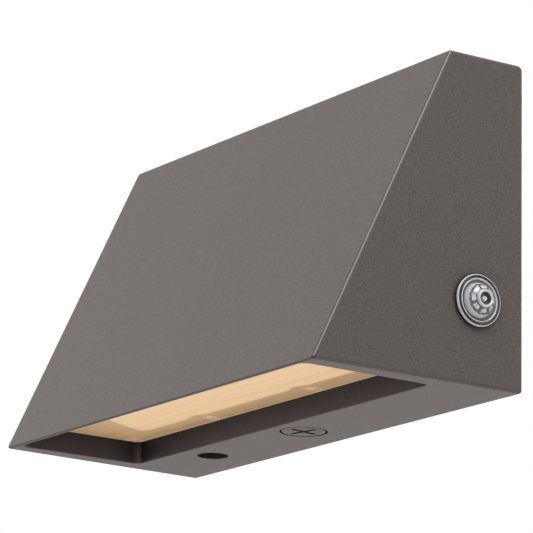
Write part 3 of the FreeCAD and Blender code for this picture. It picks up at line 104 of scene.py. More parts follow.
def makeSky():
    # the light from the sky is stronger overhead
    world = bpy.data.worlds.new("paleStudio")
    world.use_nodes = True
    tree = world.node_tree
    tree.nodes.clear()
    sky = addNode(tree, "ShaderNodeBackground", {"Color": (*studio["skyTint"], 1)})
    direction = tree.nodes.new("ShaderNodeTexCoord")
    split = addNode(tree, "ShaderNodeSeparateXYZ")
    tree.links.new(direction.outputs["Generated"], split.inputs[0])
    low, high = studio["overheadFrom"]
    strength = addNode(tree, "ShaderNodeMapRange", {
        "From Min": low, "From Max": high, "To Min": studio["sky"], "To Max": studio["overhead"]})
    tree.links.new(split.outputs["Z"], strength.inputs["Value"])
    tree.links.new(strength.outputs[0], sky.inputs["Strength"])
    output = tree.nodes.new("ShaderNodeOutputWorld")
    tree.links.new(whiteBehind(tree, sky.outputs[0]), output.inputs["Surface"])
    bpy.context.scene.world = world


def makeFloor():
    mesh = bpy.data.meshes.new("paleFloor")
    shape = bmesh.new()
    bmesh.ops.create_grid(shape, x_segments=1, y_segments=1, size=studio["floorSize"] / 2,
                          matrix=Matrix.Translation((0, 0, studio["floorZ"])))
    shape.to_mesh(mesh)
    shape.free()
    floor = bpy.data.objects.new("paleFloor", mesh)
    bpy.context.scene.collection.objects.link(floor)
    paper = bpy.data.materials.new("floorPaper")
    paper.use_nodes = True
    body = paper.node_tree.nodes["Principled BSDF"]
    body.inputs["Base Color"].default_value = (*studio["floorColour"], 1)
    body.inputs["Roughness"].default_value = studio["floorRoughness"]
    mesh.materials.append(paper)


def makeLamps():
    for name, (place, aim, size, power) in lamps.items():
        data = bpy.data.lights.new(name, "AREA")
        data.shape = "DISK"
        data.size = size
        data.energy = power
        lamp = bpy.data.objects.new(name, data)
        bpy.context.scene.collection.objects.link(lamp)
        towards = (Vector(aim) - Vector(place)).to_track_quat("-Z", "Y").to_matrix().to_4x4()
        lamp.matrix_world = Matrix.Translation(place) @ towards


makeCamera()
makeSky()
makeFloor()
makeLamps()
bpy.context.scene.view_settings.view_transform = "Standard"
print("camera, floor and lamps placed")


def solidsOf(name):
    # the box of each separate solid in a node
    copy = bmesh.new()
    copy.from_mesh(nodes[name].data)
    bmesh.ops.remove_doubles(copy, verts=copy.verts, dist=sameCorner)
    boxes = []
    waiting = set(copy.verts)
    while waiting:
        reached = [waiting.pop()]
        corners = []
        while reached:
            corner = reached.pop()
            corners.append(corner.co.copy())
            for edge in corner.link_edges:
                other = edge.other_vert(corner)
                if other in waiting:
                    waiting.remove(other)
                    reached.append(other)
        boxes.append(tuple(Vector(pick(c[i] for c in corners) for i in range(3)) for pick in (min, max)))
    copy.free()
    return sorted(boxes, key=lambda box: tuple(round(v, 4) for v in box[0]))


# finishes
def startFinish(name, roughness, metallic=0.0, specular=0.5):
    finish = bpy.data.materials.new(name)
    finish.use_nodes = True
    tree = finish.node_tree
    body = tree.nodes["Principled BSDF"]
    body.inputs["Roughness"].default_value = roughness
    body.inputs["Metallic"].default_value = metallic
    body.inputs["Specular IOR Level"].default_value = specular
    place = addNode(tree, "ShaderNodeTexCoord")
    return finish, tree, body, place.outputs["Object"]


def grain(tree, place, scale, detail, stretch=None):
    # scale is in cells per metre
    if stretch:
        mapping = addNode(tree, "ShaderNodeMapping", {"Scale": stretch})
        tree.links.new(place, mapping.inputs["Vector"])
        place = mapping.outputs[0]
    noise = addNode(tree, "ShaderNodeTexNoise", {"Scale": scale, "Detail": detail})
    tree.links.new(place, noise.inputs["Vector"])
    return noise.outputs["Fac"]


def between(tree, value, low, high):
    # 0 at low and 1 at high, and the same beyond them
    steps = addNode(tree, "ShaderNodeMapRange", {"From Min": low, "From Max": high})
    tree.links.new(value, steps.inputs["Value"])
    return steps.outputs["Result"]


def maths(tree, first, second, kind, third=None):
    # each value is a number or another node's output
    node = addNode(tree, "ShaderNodeMath", operation=kind)
    for socket, value in zip(node.inputs, (first, second, third)):
        if isinstance(value, (int, float)):
            socket.default_value = value
        elif value is not None:
            tree.links.new(value, socket)
    return node.outputs[0]


def blendColours(tree, factor, first, second):
    mix = addNode(tree, "ShaderNodeMix", data_type="RGBA")
    tree.links.new(factor, mix.inputs[0])
    for socket, colour in ((mix.inputs[6], first), (mix.inputs[7], second)):
        if isinstance(colour, tuple):
            socket.default_value = (*colour, 1)
        else:
            tree.links.new(colour, socket)
    return mix.outputs[2]


def bumps(tree, value, height, body):
    bump = addNode(tree, "ShaderNodeBump", {"Distance": height, "Strength": 1.0})
    tree.links.new(value, bump.inputs["Height"])
    tree.links.new(bump.outputs[0], body.inputs["Normal"])


def screen(red, green, blue):
    # an on-screen colour of 0 to 255 as the shader wants it
    parts = (red / 255, green / 255, blue / 255)
    return tuple(((part + 0.055) / 1.055) ** 2.4 if part > 0.04 else part / 12.92 for part in parts)


def shaded(tree, colour, factor):
    # the colour times a factor for each of red, green and blue
    mix = addNode(tree, "ShaderNodeMix", {0: 1.0}, data_type="RGBA", blend_type="MULTIPLY")
    tree.links.new(colour, mix.inputs[6])
    mix.inputs[7].default_value = (*factor, 1)
    return mix.outputs[2]


def paintedHollowShade(tree, colour, reach, darkest):
    # painted shade: the paint in recesses and slots gets less light, so its colour is darkened where ambient
    # occlusion finds it closed in
    shade = addNode(tree, "ShaderNodeAmbientOcclusion", {"Distance": reach}, samples=hollowShadeLooks["samples"])
    opened = between(tree, shade.outputs["AO"], *hollowShadeLooks["open"])
    return blendColours(tree, opened, shaded(tree, colour, darkest), colour)


def partsOf(tree, vector):
    split = addNode(tree, "ShaderNodeSeparateXYZ")
    tree.links.new(vector, split.inputs[0])
    return split.outputs["X"], split.outputs["Y"], split.outputs["Z"]


def ownNormal(tree):
    # the surface's direction in the piece's own frame
    normal = tree.nodes.new("ShaderNodeNewGeometry")
    turned = addNode(tree, "ShaderNodeVectorTransform", vector_type="NORMAL", convert_from="WORLD",
                     convert_to="OBJECT")
    tree.links.new(normal.outputs["Normal"], turned.inputs[0])
    return turned.outputs[0]


def paintedEdgeHighlight(tree, place, normal, colour, bright):
    # painted highlight: a thin light line where the front's slope rounds over into the sides, for the lamps'
    # glint on the rounding
    slope = addNode(tree, "ShaderNodeVectorMath", {1: edgeHighlightLooks["front"]}, operation="DOT_PRODUCT")
    tree.links.new(normal, slope.inputs[0])
    across = partsOf(tree, normal)[0]
    outer = between(tree, maths(tree, across, partsOf(tree, place)[0], "MULTIPLY"), *edgeHighlightLooks["outer"])
    both = maths(tree, maths(tree, across, 0.0, "ABSOLUTE"), slope.outputs["Value"], "MINIMUM")
    line = maths(tree, between(tree, both, *edgeHighlightLooks["band"]), outer, "MULTIPLY")
    return blendColours(tree, line, colour, screen(*bright))


def paintedLipShade(tree, place, normal, colour, factor):
    # painted shade: a darker band where the front rounds over into the bottom
    facing, up = partsOf(tree, normal)[1:]
    rounds = maths(tree, between(tree, up, *lipShadeLooks["up"]), between(tree, facing, *lipShadeLooks["facing"]),
                   "MULTIPLY")
    front = between(tree, partsOf(tree, place)[1], *lipShadeLooks["y"])
    return blendColours(tree, maths(tree, rounds, front, "MULTIPLY"), colour, shaded(tree, colour, factor))


def paintedRecessShading(tree, place, normal, colour, longWalls, endWalls, corners):
    # painted shade and highlight: the walls round the lens get less light than the faces outside; the
    # factors darken the paint of the walls that run along the lens and of the end walls, and lighten the
    # rounds between them as a painted highlight
    low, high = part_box("lens")
    looks = recessShadingLooks
    low = Vector((low[0] - looks["beside"], low[1] - looks["front"], low[2] - looks["below"]))
    high = Vector((high[0] + looks["beside"], high[1] + looks["behind"], low.z + looks["tall"]))
    middle, half = (low + high) / 2, (high - low) / 2
    moved = addNode(tree, "ShaderNodeVectorMath", {1: middle}, operation="SUBTRACT")
    tree.links.new(place, moved.inputs[0])
    size = addNode(tree, "ShaderNodeVectorMath", operation="ABSOLUTE")
    tree.links.new(moved.outputs[0], size.inputs[0])
    left = addNode(tree, "ShaderNodeVectorMath", {0: half}, operation="SUBTRACT")
    tree.links.new(size.outputs[0], left.inputs[1])
    across, along, up = partsOf(tree, left.outputs[0])
    least = maths(tree, maths(tree, across, along, "MINIMUM"), up, "MINIMUM")
    sideways = maths(tree, partsOf(tree, normal)[0], 0.0, "ABSOLUTE")
    shade = blendColours(tree, between(tree, sideways, *looks["corner"]), shaded(tree, colour, longWalls),
                         shaded(tree, colour, corners))
    shade = blendColours(tree, between(tree, sideways, *looks["end"]), shade, shaded(tree, colour, endWalls))
    return blendColours(tree, between(tree, least, 0.0, looks["soft"]), colour, shade)


def finishFrom(name, looks):
    finish, tree, body, place = startFinish(name, looks["roughness"], looks.get("metallic", 0.0),
                                            looks.get("specular", 0.5))
    fine = grain(tree, place, looks["grainScale"], grainLooks["detail"], looks.get("stretch"))
    patches = between(tree, fine, *grainLooks["contrast"])
    colour = blendColours(tree, patches, screen(*looks["dark"]), screen(*looks["light"]))
    # painted shade in the hollows
    if "hollow" in looks:
        colour = paintedHollowShade(tree, colour, *looks["hollow"])
    # painted highlight on the slanted edges, painted shade on the front lip and in the recess round the
    # lens, and a painted highlight on the recess's rounds
    if "edgeHighlight" in looks:
        normal = ownNormal(tree)
        colour = paintedEdgeHighlight(tree, place, normal, colour, looks["edgeHighlight"])
        colour = paintedLipShade(tree, place, normal, colour, looks["lip"])
        colour = paintedRecessShading(tree, place, normal, colour, *looks["recess"])
    tree.links.new(colour, body.inputs["Base Color"])
    if "glow" in looks:
        tree.links.new(colour, body.inputs["Emission Color"])
        body.inputs["Emission Strength"].default_value = looks["glow"]
    bumps(tree, fine, looks["grainHeight"], body)
    return finish


grainLooks = {"detail": 3.0, "contrast": (0.35, 0.65)}
# samples, and the range of occlusion over which the painted hollow shade fades out
hollowShadeLooks = {"samples": 12, "open": (0.4, 0.95)}
# for the painted edge highlight: front is the way that the slope faces, band the share of slope and side
# that an edge's direction has, and outer how far out the edge lies
edgeHighlightLooks = {"front": (0.0, -0.93, 0.37), "band": (0.6, 0.66), "outer": (70 * mm, 75 * mm)}
# for the painted recess shading: reach beyond the lens's box, softness of the border, and how far a corner
# and an end wall face sideways
recessShadingLooks = {"beside": 5 * mm, "front": 2.5 * mm, "behind": 5 * mm, "below": 11.2 * mm, "tall": 13 * mm,
               "soft": 0.6 * mm, "corner": (0.2, 0.5), "end": (0.75, 0.95)}
# for the painted shade on the lip: how far the lip faces up and forward, and where it lies
lipShadeLooks = {"up": (0.25, 0.05), "facing": (-0.1, -0.3), "y": (-113 * mm, -115 * mm)}
looksOf = {
    "bronzePaint": {"dark": (86, 79, 76), "light": (108, 101, 98), "grainScale": 1500,
                    "grainHeight": 0.04 * mm, "roughness": 0.5, "specular": 0.35,
                    # hollow is the painted shade's reach and a factor; lip and recess are factors of painted
                    # shade, lightening the recess's rounds as a painted highlight; the edge colour is a
                    # painted highlight
                    "hollow": (20 * mm, (0.1, 0.1, 0.12)), "lip": (0.52, 0.51, 0.54),
                    "recess": ((0.31, 0.32, 0.46), (0.58, 0.6, 0.8), (1.3, 1.3, 1.4)),
                    "edgeHighlight": (184, 180, 178)},
    "bronzePlug": {"dark": (84, 77, 74), "light": (104, 97, 94), "grainScale": 1800,
                   "grainHeight": 0.02 * mm, "roughness": 0.5, "specular": 0.35,
                   # painted shade: the plug's slots darken to black
                   "hollow": (4 * mm, (0.0, 0.0, 0.0))},
    "zincSteel": {"dark": (176, 177, 178), "light": (190, 191, 192), "grainScale": 900,
                  "grainHeight": 0.005 * mm, "roughness": 0.42, "metallic": 1.0},
    "bareCasting": {"dark": (150, 150, 148), "light": (172, 172, 170), "grainScale": 900,
                    "grainHeight": 0.02 * mm, "roughness": 0.5, "metallic": 1.0},
    "stainless": {"dark": (196, 192, 186), "light": (222, 218, 212), "grainScale": 1200,
                  "grainHeight": 0.01 * mm, "roughness": 0.3, "metallic": 1.0},
    # painted light: the screws by the lens are tan and glow a little, for the lens's light that they reflect
    "lensScrewGlow": {"dark": (236, 204, 168), "light": (250, 226, 196), "grainScale": 1600,
                       "grainHeight": 0.01 * mm, "roughness": 0.35, "metallic": 0.3, "glow": 0.1},
    "springSteel": {"dark": (120, 120, 124), "light": (150, 150, 154), "grainScale": 1200,
                    "grainHeight": 0.01 * mm, "roughness": 0.35, "metallic": 1.0},
    "greenScrew": {"dark": (24, 110, 44), "light": (34, 132, 56), "grainScale": 900,
                   "grainHeight": 0.01 * mm, "roughness": 0.35, "metallic": 0.3},
    "blackRubber": {"dark": (24, 24, 24), "light": (38, 38, 38), "grainScale": 1300,
                    "grainHeight": 0.03 * mm, "roughness": 0.7},
    "greySilicone": {"dark": (186, 180, 172), "light": (202, 196, 188), "grainScale": 900,
                     "grainHeight": 0.02 * mm, "roughness": 0.6},
    "padGrey": {"dark": (182, 186, 194), "light": (198, 202, 210), "grainScale": 1600,
                "grainHeight": 0.03 * mm, "roughness": 0.8},
    "whiteFilm": {"dark": (232, 230, 224), "light": (242, 240, 236), "grainScale": 500,
                  "grainHeight": 0.01 * mm, "roughness": 0.6},
    "boardWhite": {"dark": (226, 226, 220), "light": (238, 238, 234), "grainScale": 800,
                   "grainHeight": 0.01 * mm, "roughness": 0.3},
    "phosphor": {"dark": (236, 190, 84), "light": (248, 210, 112), "grainScale": 2500,
                 "grainHeight": 0.02 * mm, "roughness": 0.35},
    "connectorWhite": {"dark": (222, 218, 206), "light": (234, 230, 220), "grainScale": 900,
                       "grainHeight": 0.01 * mm, "roughness": 0.45},
    "driverMetal": {"dark": (172, 172, 174), "light": (188, 188, 190), "grainScale": 900,
                    "grainHeight": 0.005 * mm, "roughness": 0.4, "metallic": 1.0, "stretch": (0.06, 1, 1)},
    "blackPlastic": {"dark": (28, 28, 29), "light": (40, 40, 41), "grainScale": 1400,
                     "grainHeight": 0.03 * mm, "roughness": 0.5},
    "palePlastic": {"dark": (214, 210, 200), "light": (228, 224, 216), "grainScale": 1100,
                    "grainHeight": 0.02 * mm, "roughness": 0.45},
    "sensorGrey": {"dark": (70, 68, 66), "light": (92, 90, 88), "grainScale": 1400,
                   "grainHeight": 0.01 * mm, "roughness": 0.35},
    "redLead": {"dark": (150, 26, 20), "light": (176, 36, 28), "grainScale": 600,
                "grainHeight": 0.01 * mm, "roughness": 0.4},
    "blackLead": {"dark": (28, 28, 28), "light": (42, 42, 42), "grainScale": 600,
                  "grainHeight": 0.01 * mm, "roughness": 0.4},
    "whiteLead": {"dark": (220, 218, 210), "light": (234, 232, 226), "grainScale": 600,
                  "grainHeight": 0.01 * mm, "roughness": 0.4},
}
wearsFinish = {
    "bronzePaint": ["housing"],
    "zincSteel": ["wall_plate"],
    "bareCasting": ["clamp_bar"],
    "springSteel": ["retaining_ring"],
    "blackRubber": ["wall_gasket", "wire_grommet", "lead_grommet", "photocell_washer", "port_seal"],
    "greySilicone": ["lens_gasket"],
    "padGrey": ["thermal_pad"],
    "whiteFilm": ["reflector"],
    "boardWhite": ["led_board"],
    "phosphor": ["led_chips"],
    "connectorWhite": ["board_connector"],
    "driverMetal": ["driver_case"],
    "blackPlastic": ["driver_output_cap", "driver_input_cap", "photocell_body", "photocell_nut"],
    "palePlastic": ["terminal_block"],
    "sensorGrey": ["photocell_sensor"],
    "redLead": ["led_lead_red", "photocell_lead_red"],
    "blackLead": ["led_lead_black", "driver_lead_black", "photocell_lead_black"],
    "whiteLead": ["driver_lead_white"],
}


def wear(finish, names):
    for name in names:
        materials = nodes[name].data.materials
        for i in range(len(materials)):
            materials[i] = finish
        if not len(materials):
            materials.append(finish)


# painted light: the zone is the bright window, lighter where the white board behind lights it through the
# lens, and the rim is darker where the dark casting lies behind it; the zone is clear of the screws; places
# are in the part's own frame
lensLooks = {
    "zoneDark": (228, 187, 139), "zoneLight": (238, 200, 153), "rimDark": (188, 152, 112),
    "rimLight": (201, 165, 123), "edge": (240, 214, 180), "boss": (220, 186, 146),
    "zoneFront": -104.0 * mm, "zoneRear": -61.7 * mm, "halfFront": 80.0 * mm, "halfRear": 100.0 * mm,
    "cornerSoft": 6 * mm, "scallop": 11.5 * mm, "scallopSoft": 2 * mm, "softness": 1.4 * mm,
    "bossR": 4.0 * mm, "bossWide": 1.0 * mm, "edgeX": 125.7 * mm, "edgeY": -48.0 * mm,
    "streakPitch": 4.0 * mm, "streakStretch": (0.02, 1, 1), "streakDetail": 2.0,
    "linePitch": 1.4 * mm, "lineHeight": 0.08 * mm, "roughness": 0.3, "glow": 0.25,
}
# a wave texture of scale 1 repeats at this distance
waveLength = 0.314


def lensFinish():
    # painted light: its colours glow a little, because the light from the window isn't traced through the
    # lens
    looks = lensLooks
    finish, tree, body, place = startFinish("lensPlastic", looks["roughness"])
    across, along = partsOf(tree, place)[:2]
    aside = maths(tree, across, 0.0, "ABSOLUTE")
    slope = (looks["halfRear"] - looks["halfFront"]) / (looks["zoneRear"] - looks["zoneFront"])
    half = maths(tree, along, slope, "MULTIPLY_ADD", looks["halfRear"] - slope * looks["zoneRear"])
    inside = maths(tree, half, aside, "SUBTRACT")
    fromFront = maths(tree, along, looks["zoneFront"], "SUBTRACT")
    fromRear = maths(tree, looks["zoneRear"], along, "SUBTRACT")
    lengthwise = maths(tree, fromFront, fromRear, "MINIMUM")
    nearest = maths(tree, inside, lengthwise, "SMOOTH_MIN", looks["cornerSoft"])
    flat = addNode(tree, "ShaderNodeVectorMath", {1: (1, 1, 0)}, operation="MULTIPLY")
    tree.links.new(place, flat.inputs[0])
    boss = 1.0
    for low, high in solidsOf("lens_screws"):
        screw = (low + high) / 2
        away = addNode(tree, "ShaderNodeVectorMath", {1: (screw.x, screw.y, 0)}, operation="DISTANCE")
        tree.links.new(flat.outputs[0], away.inputs[0])
        off = maths(tree, away.outputs["Value"], looks["bossR"], "SUBTRACT")
        boss = maths(tree, maths(tree, off, 0.0, "ABSOLUTE"), boss, "MINIMUM")
        if abs(screw.x) < looks["halfRear"]:
            clear = maths(tree, away.outputs["Value"], looks["scallop"], "SUBTRACT")
            nearest = maths(tree, nearest, clear, "SMOOTH_MIN", looks["scallopSoft"])
    zone = between(tree, nearest, -looks["softness"], looks["softness"])
    streaks = grain(tree, place, 1 / looks["streakPitch"], looks["streakDetail"], looks["streakStretch"])
    streak = between(tree, streaks, *grainLooks["contrast"])
    bright = blendColours(tree, streak, screen(*looks["zoneDark"]), screen(*looks["zoneLight"]))
    rim = blendColours(tree, streak, screen(*looks["rimDark"]), screen(*looks["rimLight"]))
    rim = blendColours(tree, between(tree, boss, 0.0, looks["bossWide"]), screen(*looks["boss"]), rim)
    colour = blendColours(tree, zone, rim, bright)
    edgeX = maths(tree, aside, looks["edgeX"], "GREATER_THAN")
    edgeY = maths(tree, along, looks["edgeY"], "GREATER_THAN")
    colour = blendColours(tree, maths(tree, edgeX, edgeY, "MAXIMUM"), colour, screen(*looks["edge"]))
    tree.links.new(colour, body.inputs["Base Color"])
    tree.links.new(colour, body.inputs["Emission Color"])
    body.inputs["Emission Strength"].default_value = looks["glow"]
    scale = waveLength / looks["linePitch"]
    lines = addNode(tree, "ShaderNodeTexWave", {"Scale": scale}, bands_direction="Y")
    tree.links.new(place, lines.inputs["Vector"])
    bumps(tree, lines.outputs["Fac"], looks["lineHeight"], body)
    return finish


clearKinds = {
    # name: colour, roughness
    "clearPlastic": ((0.97, 0.98, 1.0), 0.06),
    # frosted, and lighter as painted light for the bright refractions of the photocell's facets
    "frostedLitPlastic": ((0.78, 0.79, 0.83), 0.15),
    # painted shade: dark for the dark refractions of the photocell's facets
    "paintedShadePlastic": ((0.14, 0.14, 0.155), 0.12),
}
clearLooks = {"through": 0.15, "bend": 1.49, "specular": 0.7, "grainScale": 500, "grainDetail": 1.0,
              "grainHeight": 0.01 * mm, "contrast": (0.3, 0.7), "darkest": 0.92}


def clearFinish(name, colour, roughness):
    looks = clearLooks
    finish, tree, body, place = startFinish(name, roughness, specular=looks["specular"])
    fine = grain(tree, place, looks["grainScale"], looks["grainDetail"])
    darker = tuple(looks["darkest"] * part for part in colour)
    tree.links.new(blendColours(tree, between(tree, fine, *looks["contrast"]), colour, darker),
                   body.inputs["Base Color"])
    body.inputs["Transmission Weight"].default_value = looks["through"]
    body.inputs["IOR"].default_value = looks["bend"]
    bumps(tree, fine, looks["grainHeight"], body)
    return finish


finishes = {name: finishFrom(name, looks) for name, looks in looksOf.items()}
finishes["lensPlastic"] = lensFinish()
for name, (colour, roughness) in clearKinds.items():
    finishes[name] = clearFinish(name, colour, roughness)
for name, worn in wearsFinish.items():
    wear(finishes[name], worn)
wear(finishes["lensPlastic"], ["lens"])
print("finishes made:", len(finishes))


# shapes that the pieces share
# corners this close to a ring's radius, in mm, are on it
ringSlack = 0.02


def spinProfile(points, steps):
    # points are radius and height in mm, turned about z
    shape = bmesh.new()
    corners = [shape.verts.new((radius * mm, 0, height * mm)) for radius, height in points]
    edges = [shape.edges.new(pair) for pair in zip(corners, corners[1:])]
    bmesh.ops.spin(shape, geom=corners + edges, cent=(0, 0, 0), axis=(0, 0, 1), angle=math.tau,
                   steps=steps, use_merge=True)
    bmesh.ops.remove_doubles(shape, verts=shape.verts, dist=0.5 * sameCorner)
    return shape


def reachOf(corner):
    # the corner's distance from z in mm
    return math.hypot(corner.co.x, corner.co.y) / mm


def angleOf(corner):
    return math.atan2(corner.co.y, corner.co.x)


def draw(corner, factor):
    # moves the corner towards or away from z
    corner.co.x *= factor
    corner.co.y *= factor


def onRing(shape, radius, low, high):
    # the corners at that radius between two heights, in mm
    return [corner for corner in shape.verts
            if abs(reachOf(corner) - radius) < ringSlack and low * mm < corner.co.z < high * mm]


def lobed(shape, radius, low, high, lobes, keep):
    # draws a ring into a star, for a driver's recess
    for corner in onRing(shape, radius, low, high):
        draw(corner, keep + (1 - keep) * abs(math.cos(angleOf(corner) * lobes / 2)) ** 3)


def faceted(corners, sides, turn=0.0, spread=1.0):
    # draws round corners on to a polygon
    for corner in corners:
        side = (angleOf(corner) + turn) % (math.tau / sides) - math.pi / sides
        draw(corner, math.cos(math.pi / sides) / math.cos(side) * spread)


def finishPiece(name, shape, body, finish, replaced, sharp=35):
    bmesh.ops.recalc_face_normals(shape, faces=shape.faces)
    mesh = bpy.data.meshes.new(name)
    shape.to_mesh(mesh)
    shape.free()
    for face in mesh.polygons:
        face.use_smooth = True
    mesh.set_sharp_from_angle(angle=math.radians(sharp))
    piece = bpy.data.objects.new(name, mesh)
    bpy.context.scene.collection.objects.link(piece)
    mesh.materials.append(finishes[finish])
    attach(piece, body)
    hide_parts(*replaced)
    return piece


def copyInto(target, shape, place):
    # adds a placed copy of the shape to target
    mesh = bpy.data.meshes.new("copied")
    shape.to_mesh(mesh)
    mesh.transform(place)
    target.from_mesh(mesh)
    bpy.data.meshes.remove(mesh)


def addThread(shape, root, crest, low, high, pitch, steps=20):
    # a ridge that climbs round z and sinks into the shank at both ends
    turns = (high - low) / pitch
    corners = [shape.verts.new((radius * mm, 0, (low + rise * pitch) * mm))
               for radius, rise in ((root - 0.1, 0.12), (crest, 0.42), (crest, 0.58), (root - 0.1, 0.88))]
    edges = [shape.edges.new((corners[i], corners[(i + 1) % 4])) for i in range(4)]
    ridge = [shape.faces.new(corners)]
    bmesh.ops.spin(shape, geom=corners + edges + ridge, cent=(0, 0, 0), axis=(0, 0, 1),
                   dvec=(0, 0, (high - low - pitch) * mm / (turns * steps)),
                   angle=math.tau * turns, steps=int(turns * steps))


caseScrew = {"finish": "zincSteel", "slot": "zinc_steel", "headUp": True, "headR": 3.6, "headTall": 2.4,
             "shankR": 1.95, "recess": 1.7, "pitch": 0.8}
screwKinds = {
    "lens_screws": {"finish": "lensScrewGlow", "slot": "stainless", "headUp": False, "headR": 3.3,
                    "headTall": 1.8, "shankR": 1.9, "recess": 1.5, "pitch": 0.7},
    "board_screws": {"finish": "zincSteel", "slot": "zinc_steel", "headUp": False, "headR": 2.7,
                     "headTall": 1.9, "shankR": 1.5, "recess": 1.3, "pitch": 0.5},
    "driver_screws": caseScrew,
    "block_screws": caseScrew,
}
screwTurn = math.radians(37)
crossLobes = 4
# the part of the shank's radius that is left under the thread
threadRoot = 0.86


def screwShape(looks, length):
    # head at the bottom, z from 0 at the head's face up to length
    head, tall, shank, recess = (looks[size] for size in ("headR", "headTall", "shankR", "recess"))
    deep, root = tall * 0.6, shank * threadRoot
    shape = spinProfile([
        (0, deep), (recess * 0.5, deep), (recess, 0.02), (head * 0.78, 0), (head * 0.93, tall * 0.14),
        (head, tall * 0.38), (head, tall), (root, tall), (root, length - shank * 0.6), (shank * 0.5, length),
        (0, length)], 32)
    lobed(shape, recess, -0.1, 0.3, crossLobes, 0.3)
    lobed(shape, recess * 0.5, deep - 0.1, deep + 0.1, crossLobes, 0.4)
    addThread(shape, root, shank, tall + 0.1, length - shank * 0.3, looks["pitch"])
    return shape


def makeScrews():
    for name, looks in screwKinds.items():
        shape = bmesh.new()
        for number, (low, high) in enumerate(solidsOf(name)):
            one = screwShape(looks, (high.z - low.z) / mm)
            middle = (low + high) / 2
            start = high.z if looks["headUp"] else low.z
            flip = Matrix.Rotation(math.pi, 4, "X") if looks["headUp"] else Matrix.Identity(4)
            turned = Matrix.Rotation(screwTurn * number, 4, "Z")
            copyInto(shape, one, Matrix.Translation((middle.x, middle.y, start)) @ flip @ turned)
            one.free()
        finishPiece(name.replace("_s", "S"), shape, "housing", looks["finish"], [name])


makeScrews()
print("small screws made")

groundLooks = {"headR": 4.6, "headTall": 3.5, "shankR": 2.0, "flange": 1.1, "hexSpread": 1.08, "pitch": 0.7}


def makeGroundScrew():
    low, high = solidsOf("ground_screw")[0]
    looks = groundLooks
    length = (high.y - low.y) / mm
    head, tall, shank = looks["headR"], looks["headTall"], looks["shankR"]
    root, flangeAt = shank * threadRoot, tall - looks["flange"]
    shape = spinProfile([
        (0, 1.6), (head * 0.32, 1.6), (head * 0.36, 0.15), (head * 0.58, 0), (head * 0.68, 0.3),
        (head * 0.68, flangeAt), (head, flangeAt + 0.2), (head, tall), (root, tall), (root, length - 0.8),
        (shank * 0.5, length), (0, length)], 36)
    hexCorners = [corner for corner in shape.verts if head * 0.5 < reachOf(corner) < head * 0.7
                  and corner.co.z < (flangeAt + ringSlack) * mm]
    faceted(hexCorners, 6, spread=looks["hexSpread"])
    lobed(shape, head * 0.36, 0, 0.5, 2, 0.25)
    lobed(shape, head * 0.32, 1.4, 1.8, 2, 0.25)
    addThread(shape, root, shank, tall + 0.1, length - 0.3, looks["pitch"])
    middle = (low + high) / 2
    shape.transform(Matrix.Translation((middle.x, low.y, middle.z)) @ Matrix.Rotation(-math.pi / 2, 4, "X"))
    finishPiece("groundScrew", shape, "wall_mount", "greenScrew", ["ground_screw"])


makeGroundScrew()

lockLooks = {"headR": 7.0, "headTall": 4.0, "shankR": 2.5, "threadRoot": 0.88, "pitch": 0.8, "socket": 2.3,
             "socketDeep": 2.0, "knurls": 30, "knurlDeep": 0.25}


def makeLockingScrew():
    low, high = solidsOf("locking_screw")[0]
    looks = lockLooks
    length = (high.z - low.z) / mm
    head, tall, shank = looks["headR"], looks["headTall"], looks["shankR"]
    socket, deep, root = looks["socket"], looks["socketDeep"], shank * looks["threadRoot"]
    shape = spinProfile([
        (0, deep), (socket * 0.98, deep), (socket, 0.2), (socket + 0.2, 0), (head - 0.6, 0), (head, 0.5),
        (head, tall - 0.4), (head - 0.6, tall), (root, tall), (root, length - 1.2), (shank * 0.5, length),
        (0, length)], 4 * looks["knurls"])
    for corner in onRing(shape, head, 0, tall):
        wave = 0.5 + 0.5 * math.cos(angleOf(corner) * looks["knurls"])
        draw(corner, 1 - looks["knurlDeep"] / head * wave)
    faceted(onRing(shape, socket * 0.98, deep - 0.5, deep + 0.5), 6)
    faceted(onRing(shape, socket, 0.1, 0.3), 6)
    addThread(shape, root, shank, tall + 0.4, length - 0.4, looks["pitch"])
    middle = (low + high) / 2
    shape.transform(Matrix.Translation((middle.x, middle.y, low.z)))
    finishPiece("lockingScrew", shape, "lock_screw", "stainless", ["locking_screw"])


makeLockingScrew()
print("ground and locking screws made")

# halfWide, y and z place the flange's foot on the side; the other sizes are from the middle of that foot
cellLooks = {
    "halfWide": 140, "y": -29.0, "z": -40.7, "draft": math.radians(1.45), "sharp": 28,
    "facets": 8, "facetsFrom": 4.9, "facetsTo": 7.4, "facetsOver": 4.45,
    "turn": math.radians(15), "spread": 1.07,
    # inner radius, outer radius, finish of each third of a facet in turn: 0 clear, 1 frosted and lighter as
    # painted light, 2 dark as painted shade; the light and dark stand for the facets' refractions
    "zones": ((0, 1.6, (0,)), (1.6, 3.1, (2,)), (4.5, 5.1, (2,)), (5.1, 6.7, (1, 0, 2)),
              (6.7, 7.4, (2,)), (7.4, 8.6, (1,)), (8.6, 10.05, (2,)), (10.7, 12.2, (2,))),
    "zonesOver": 1.3,
}


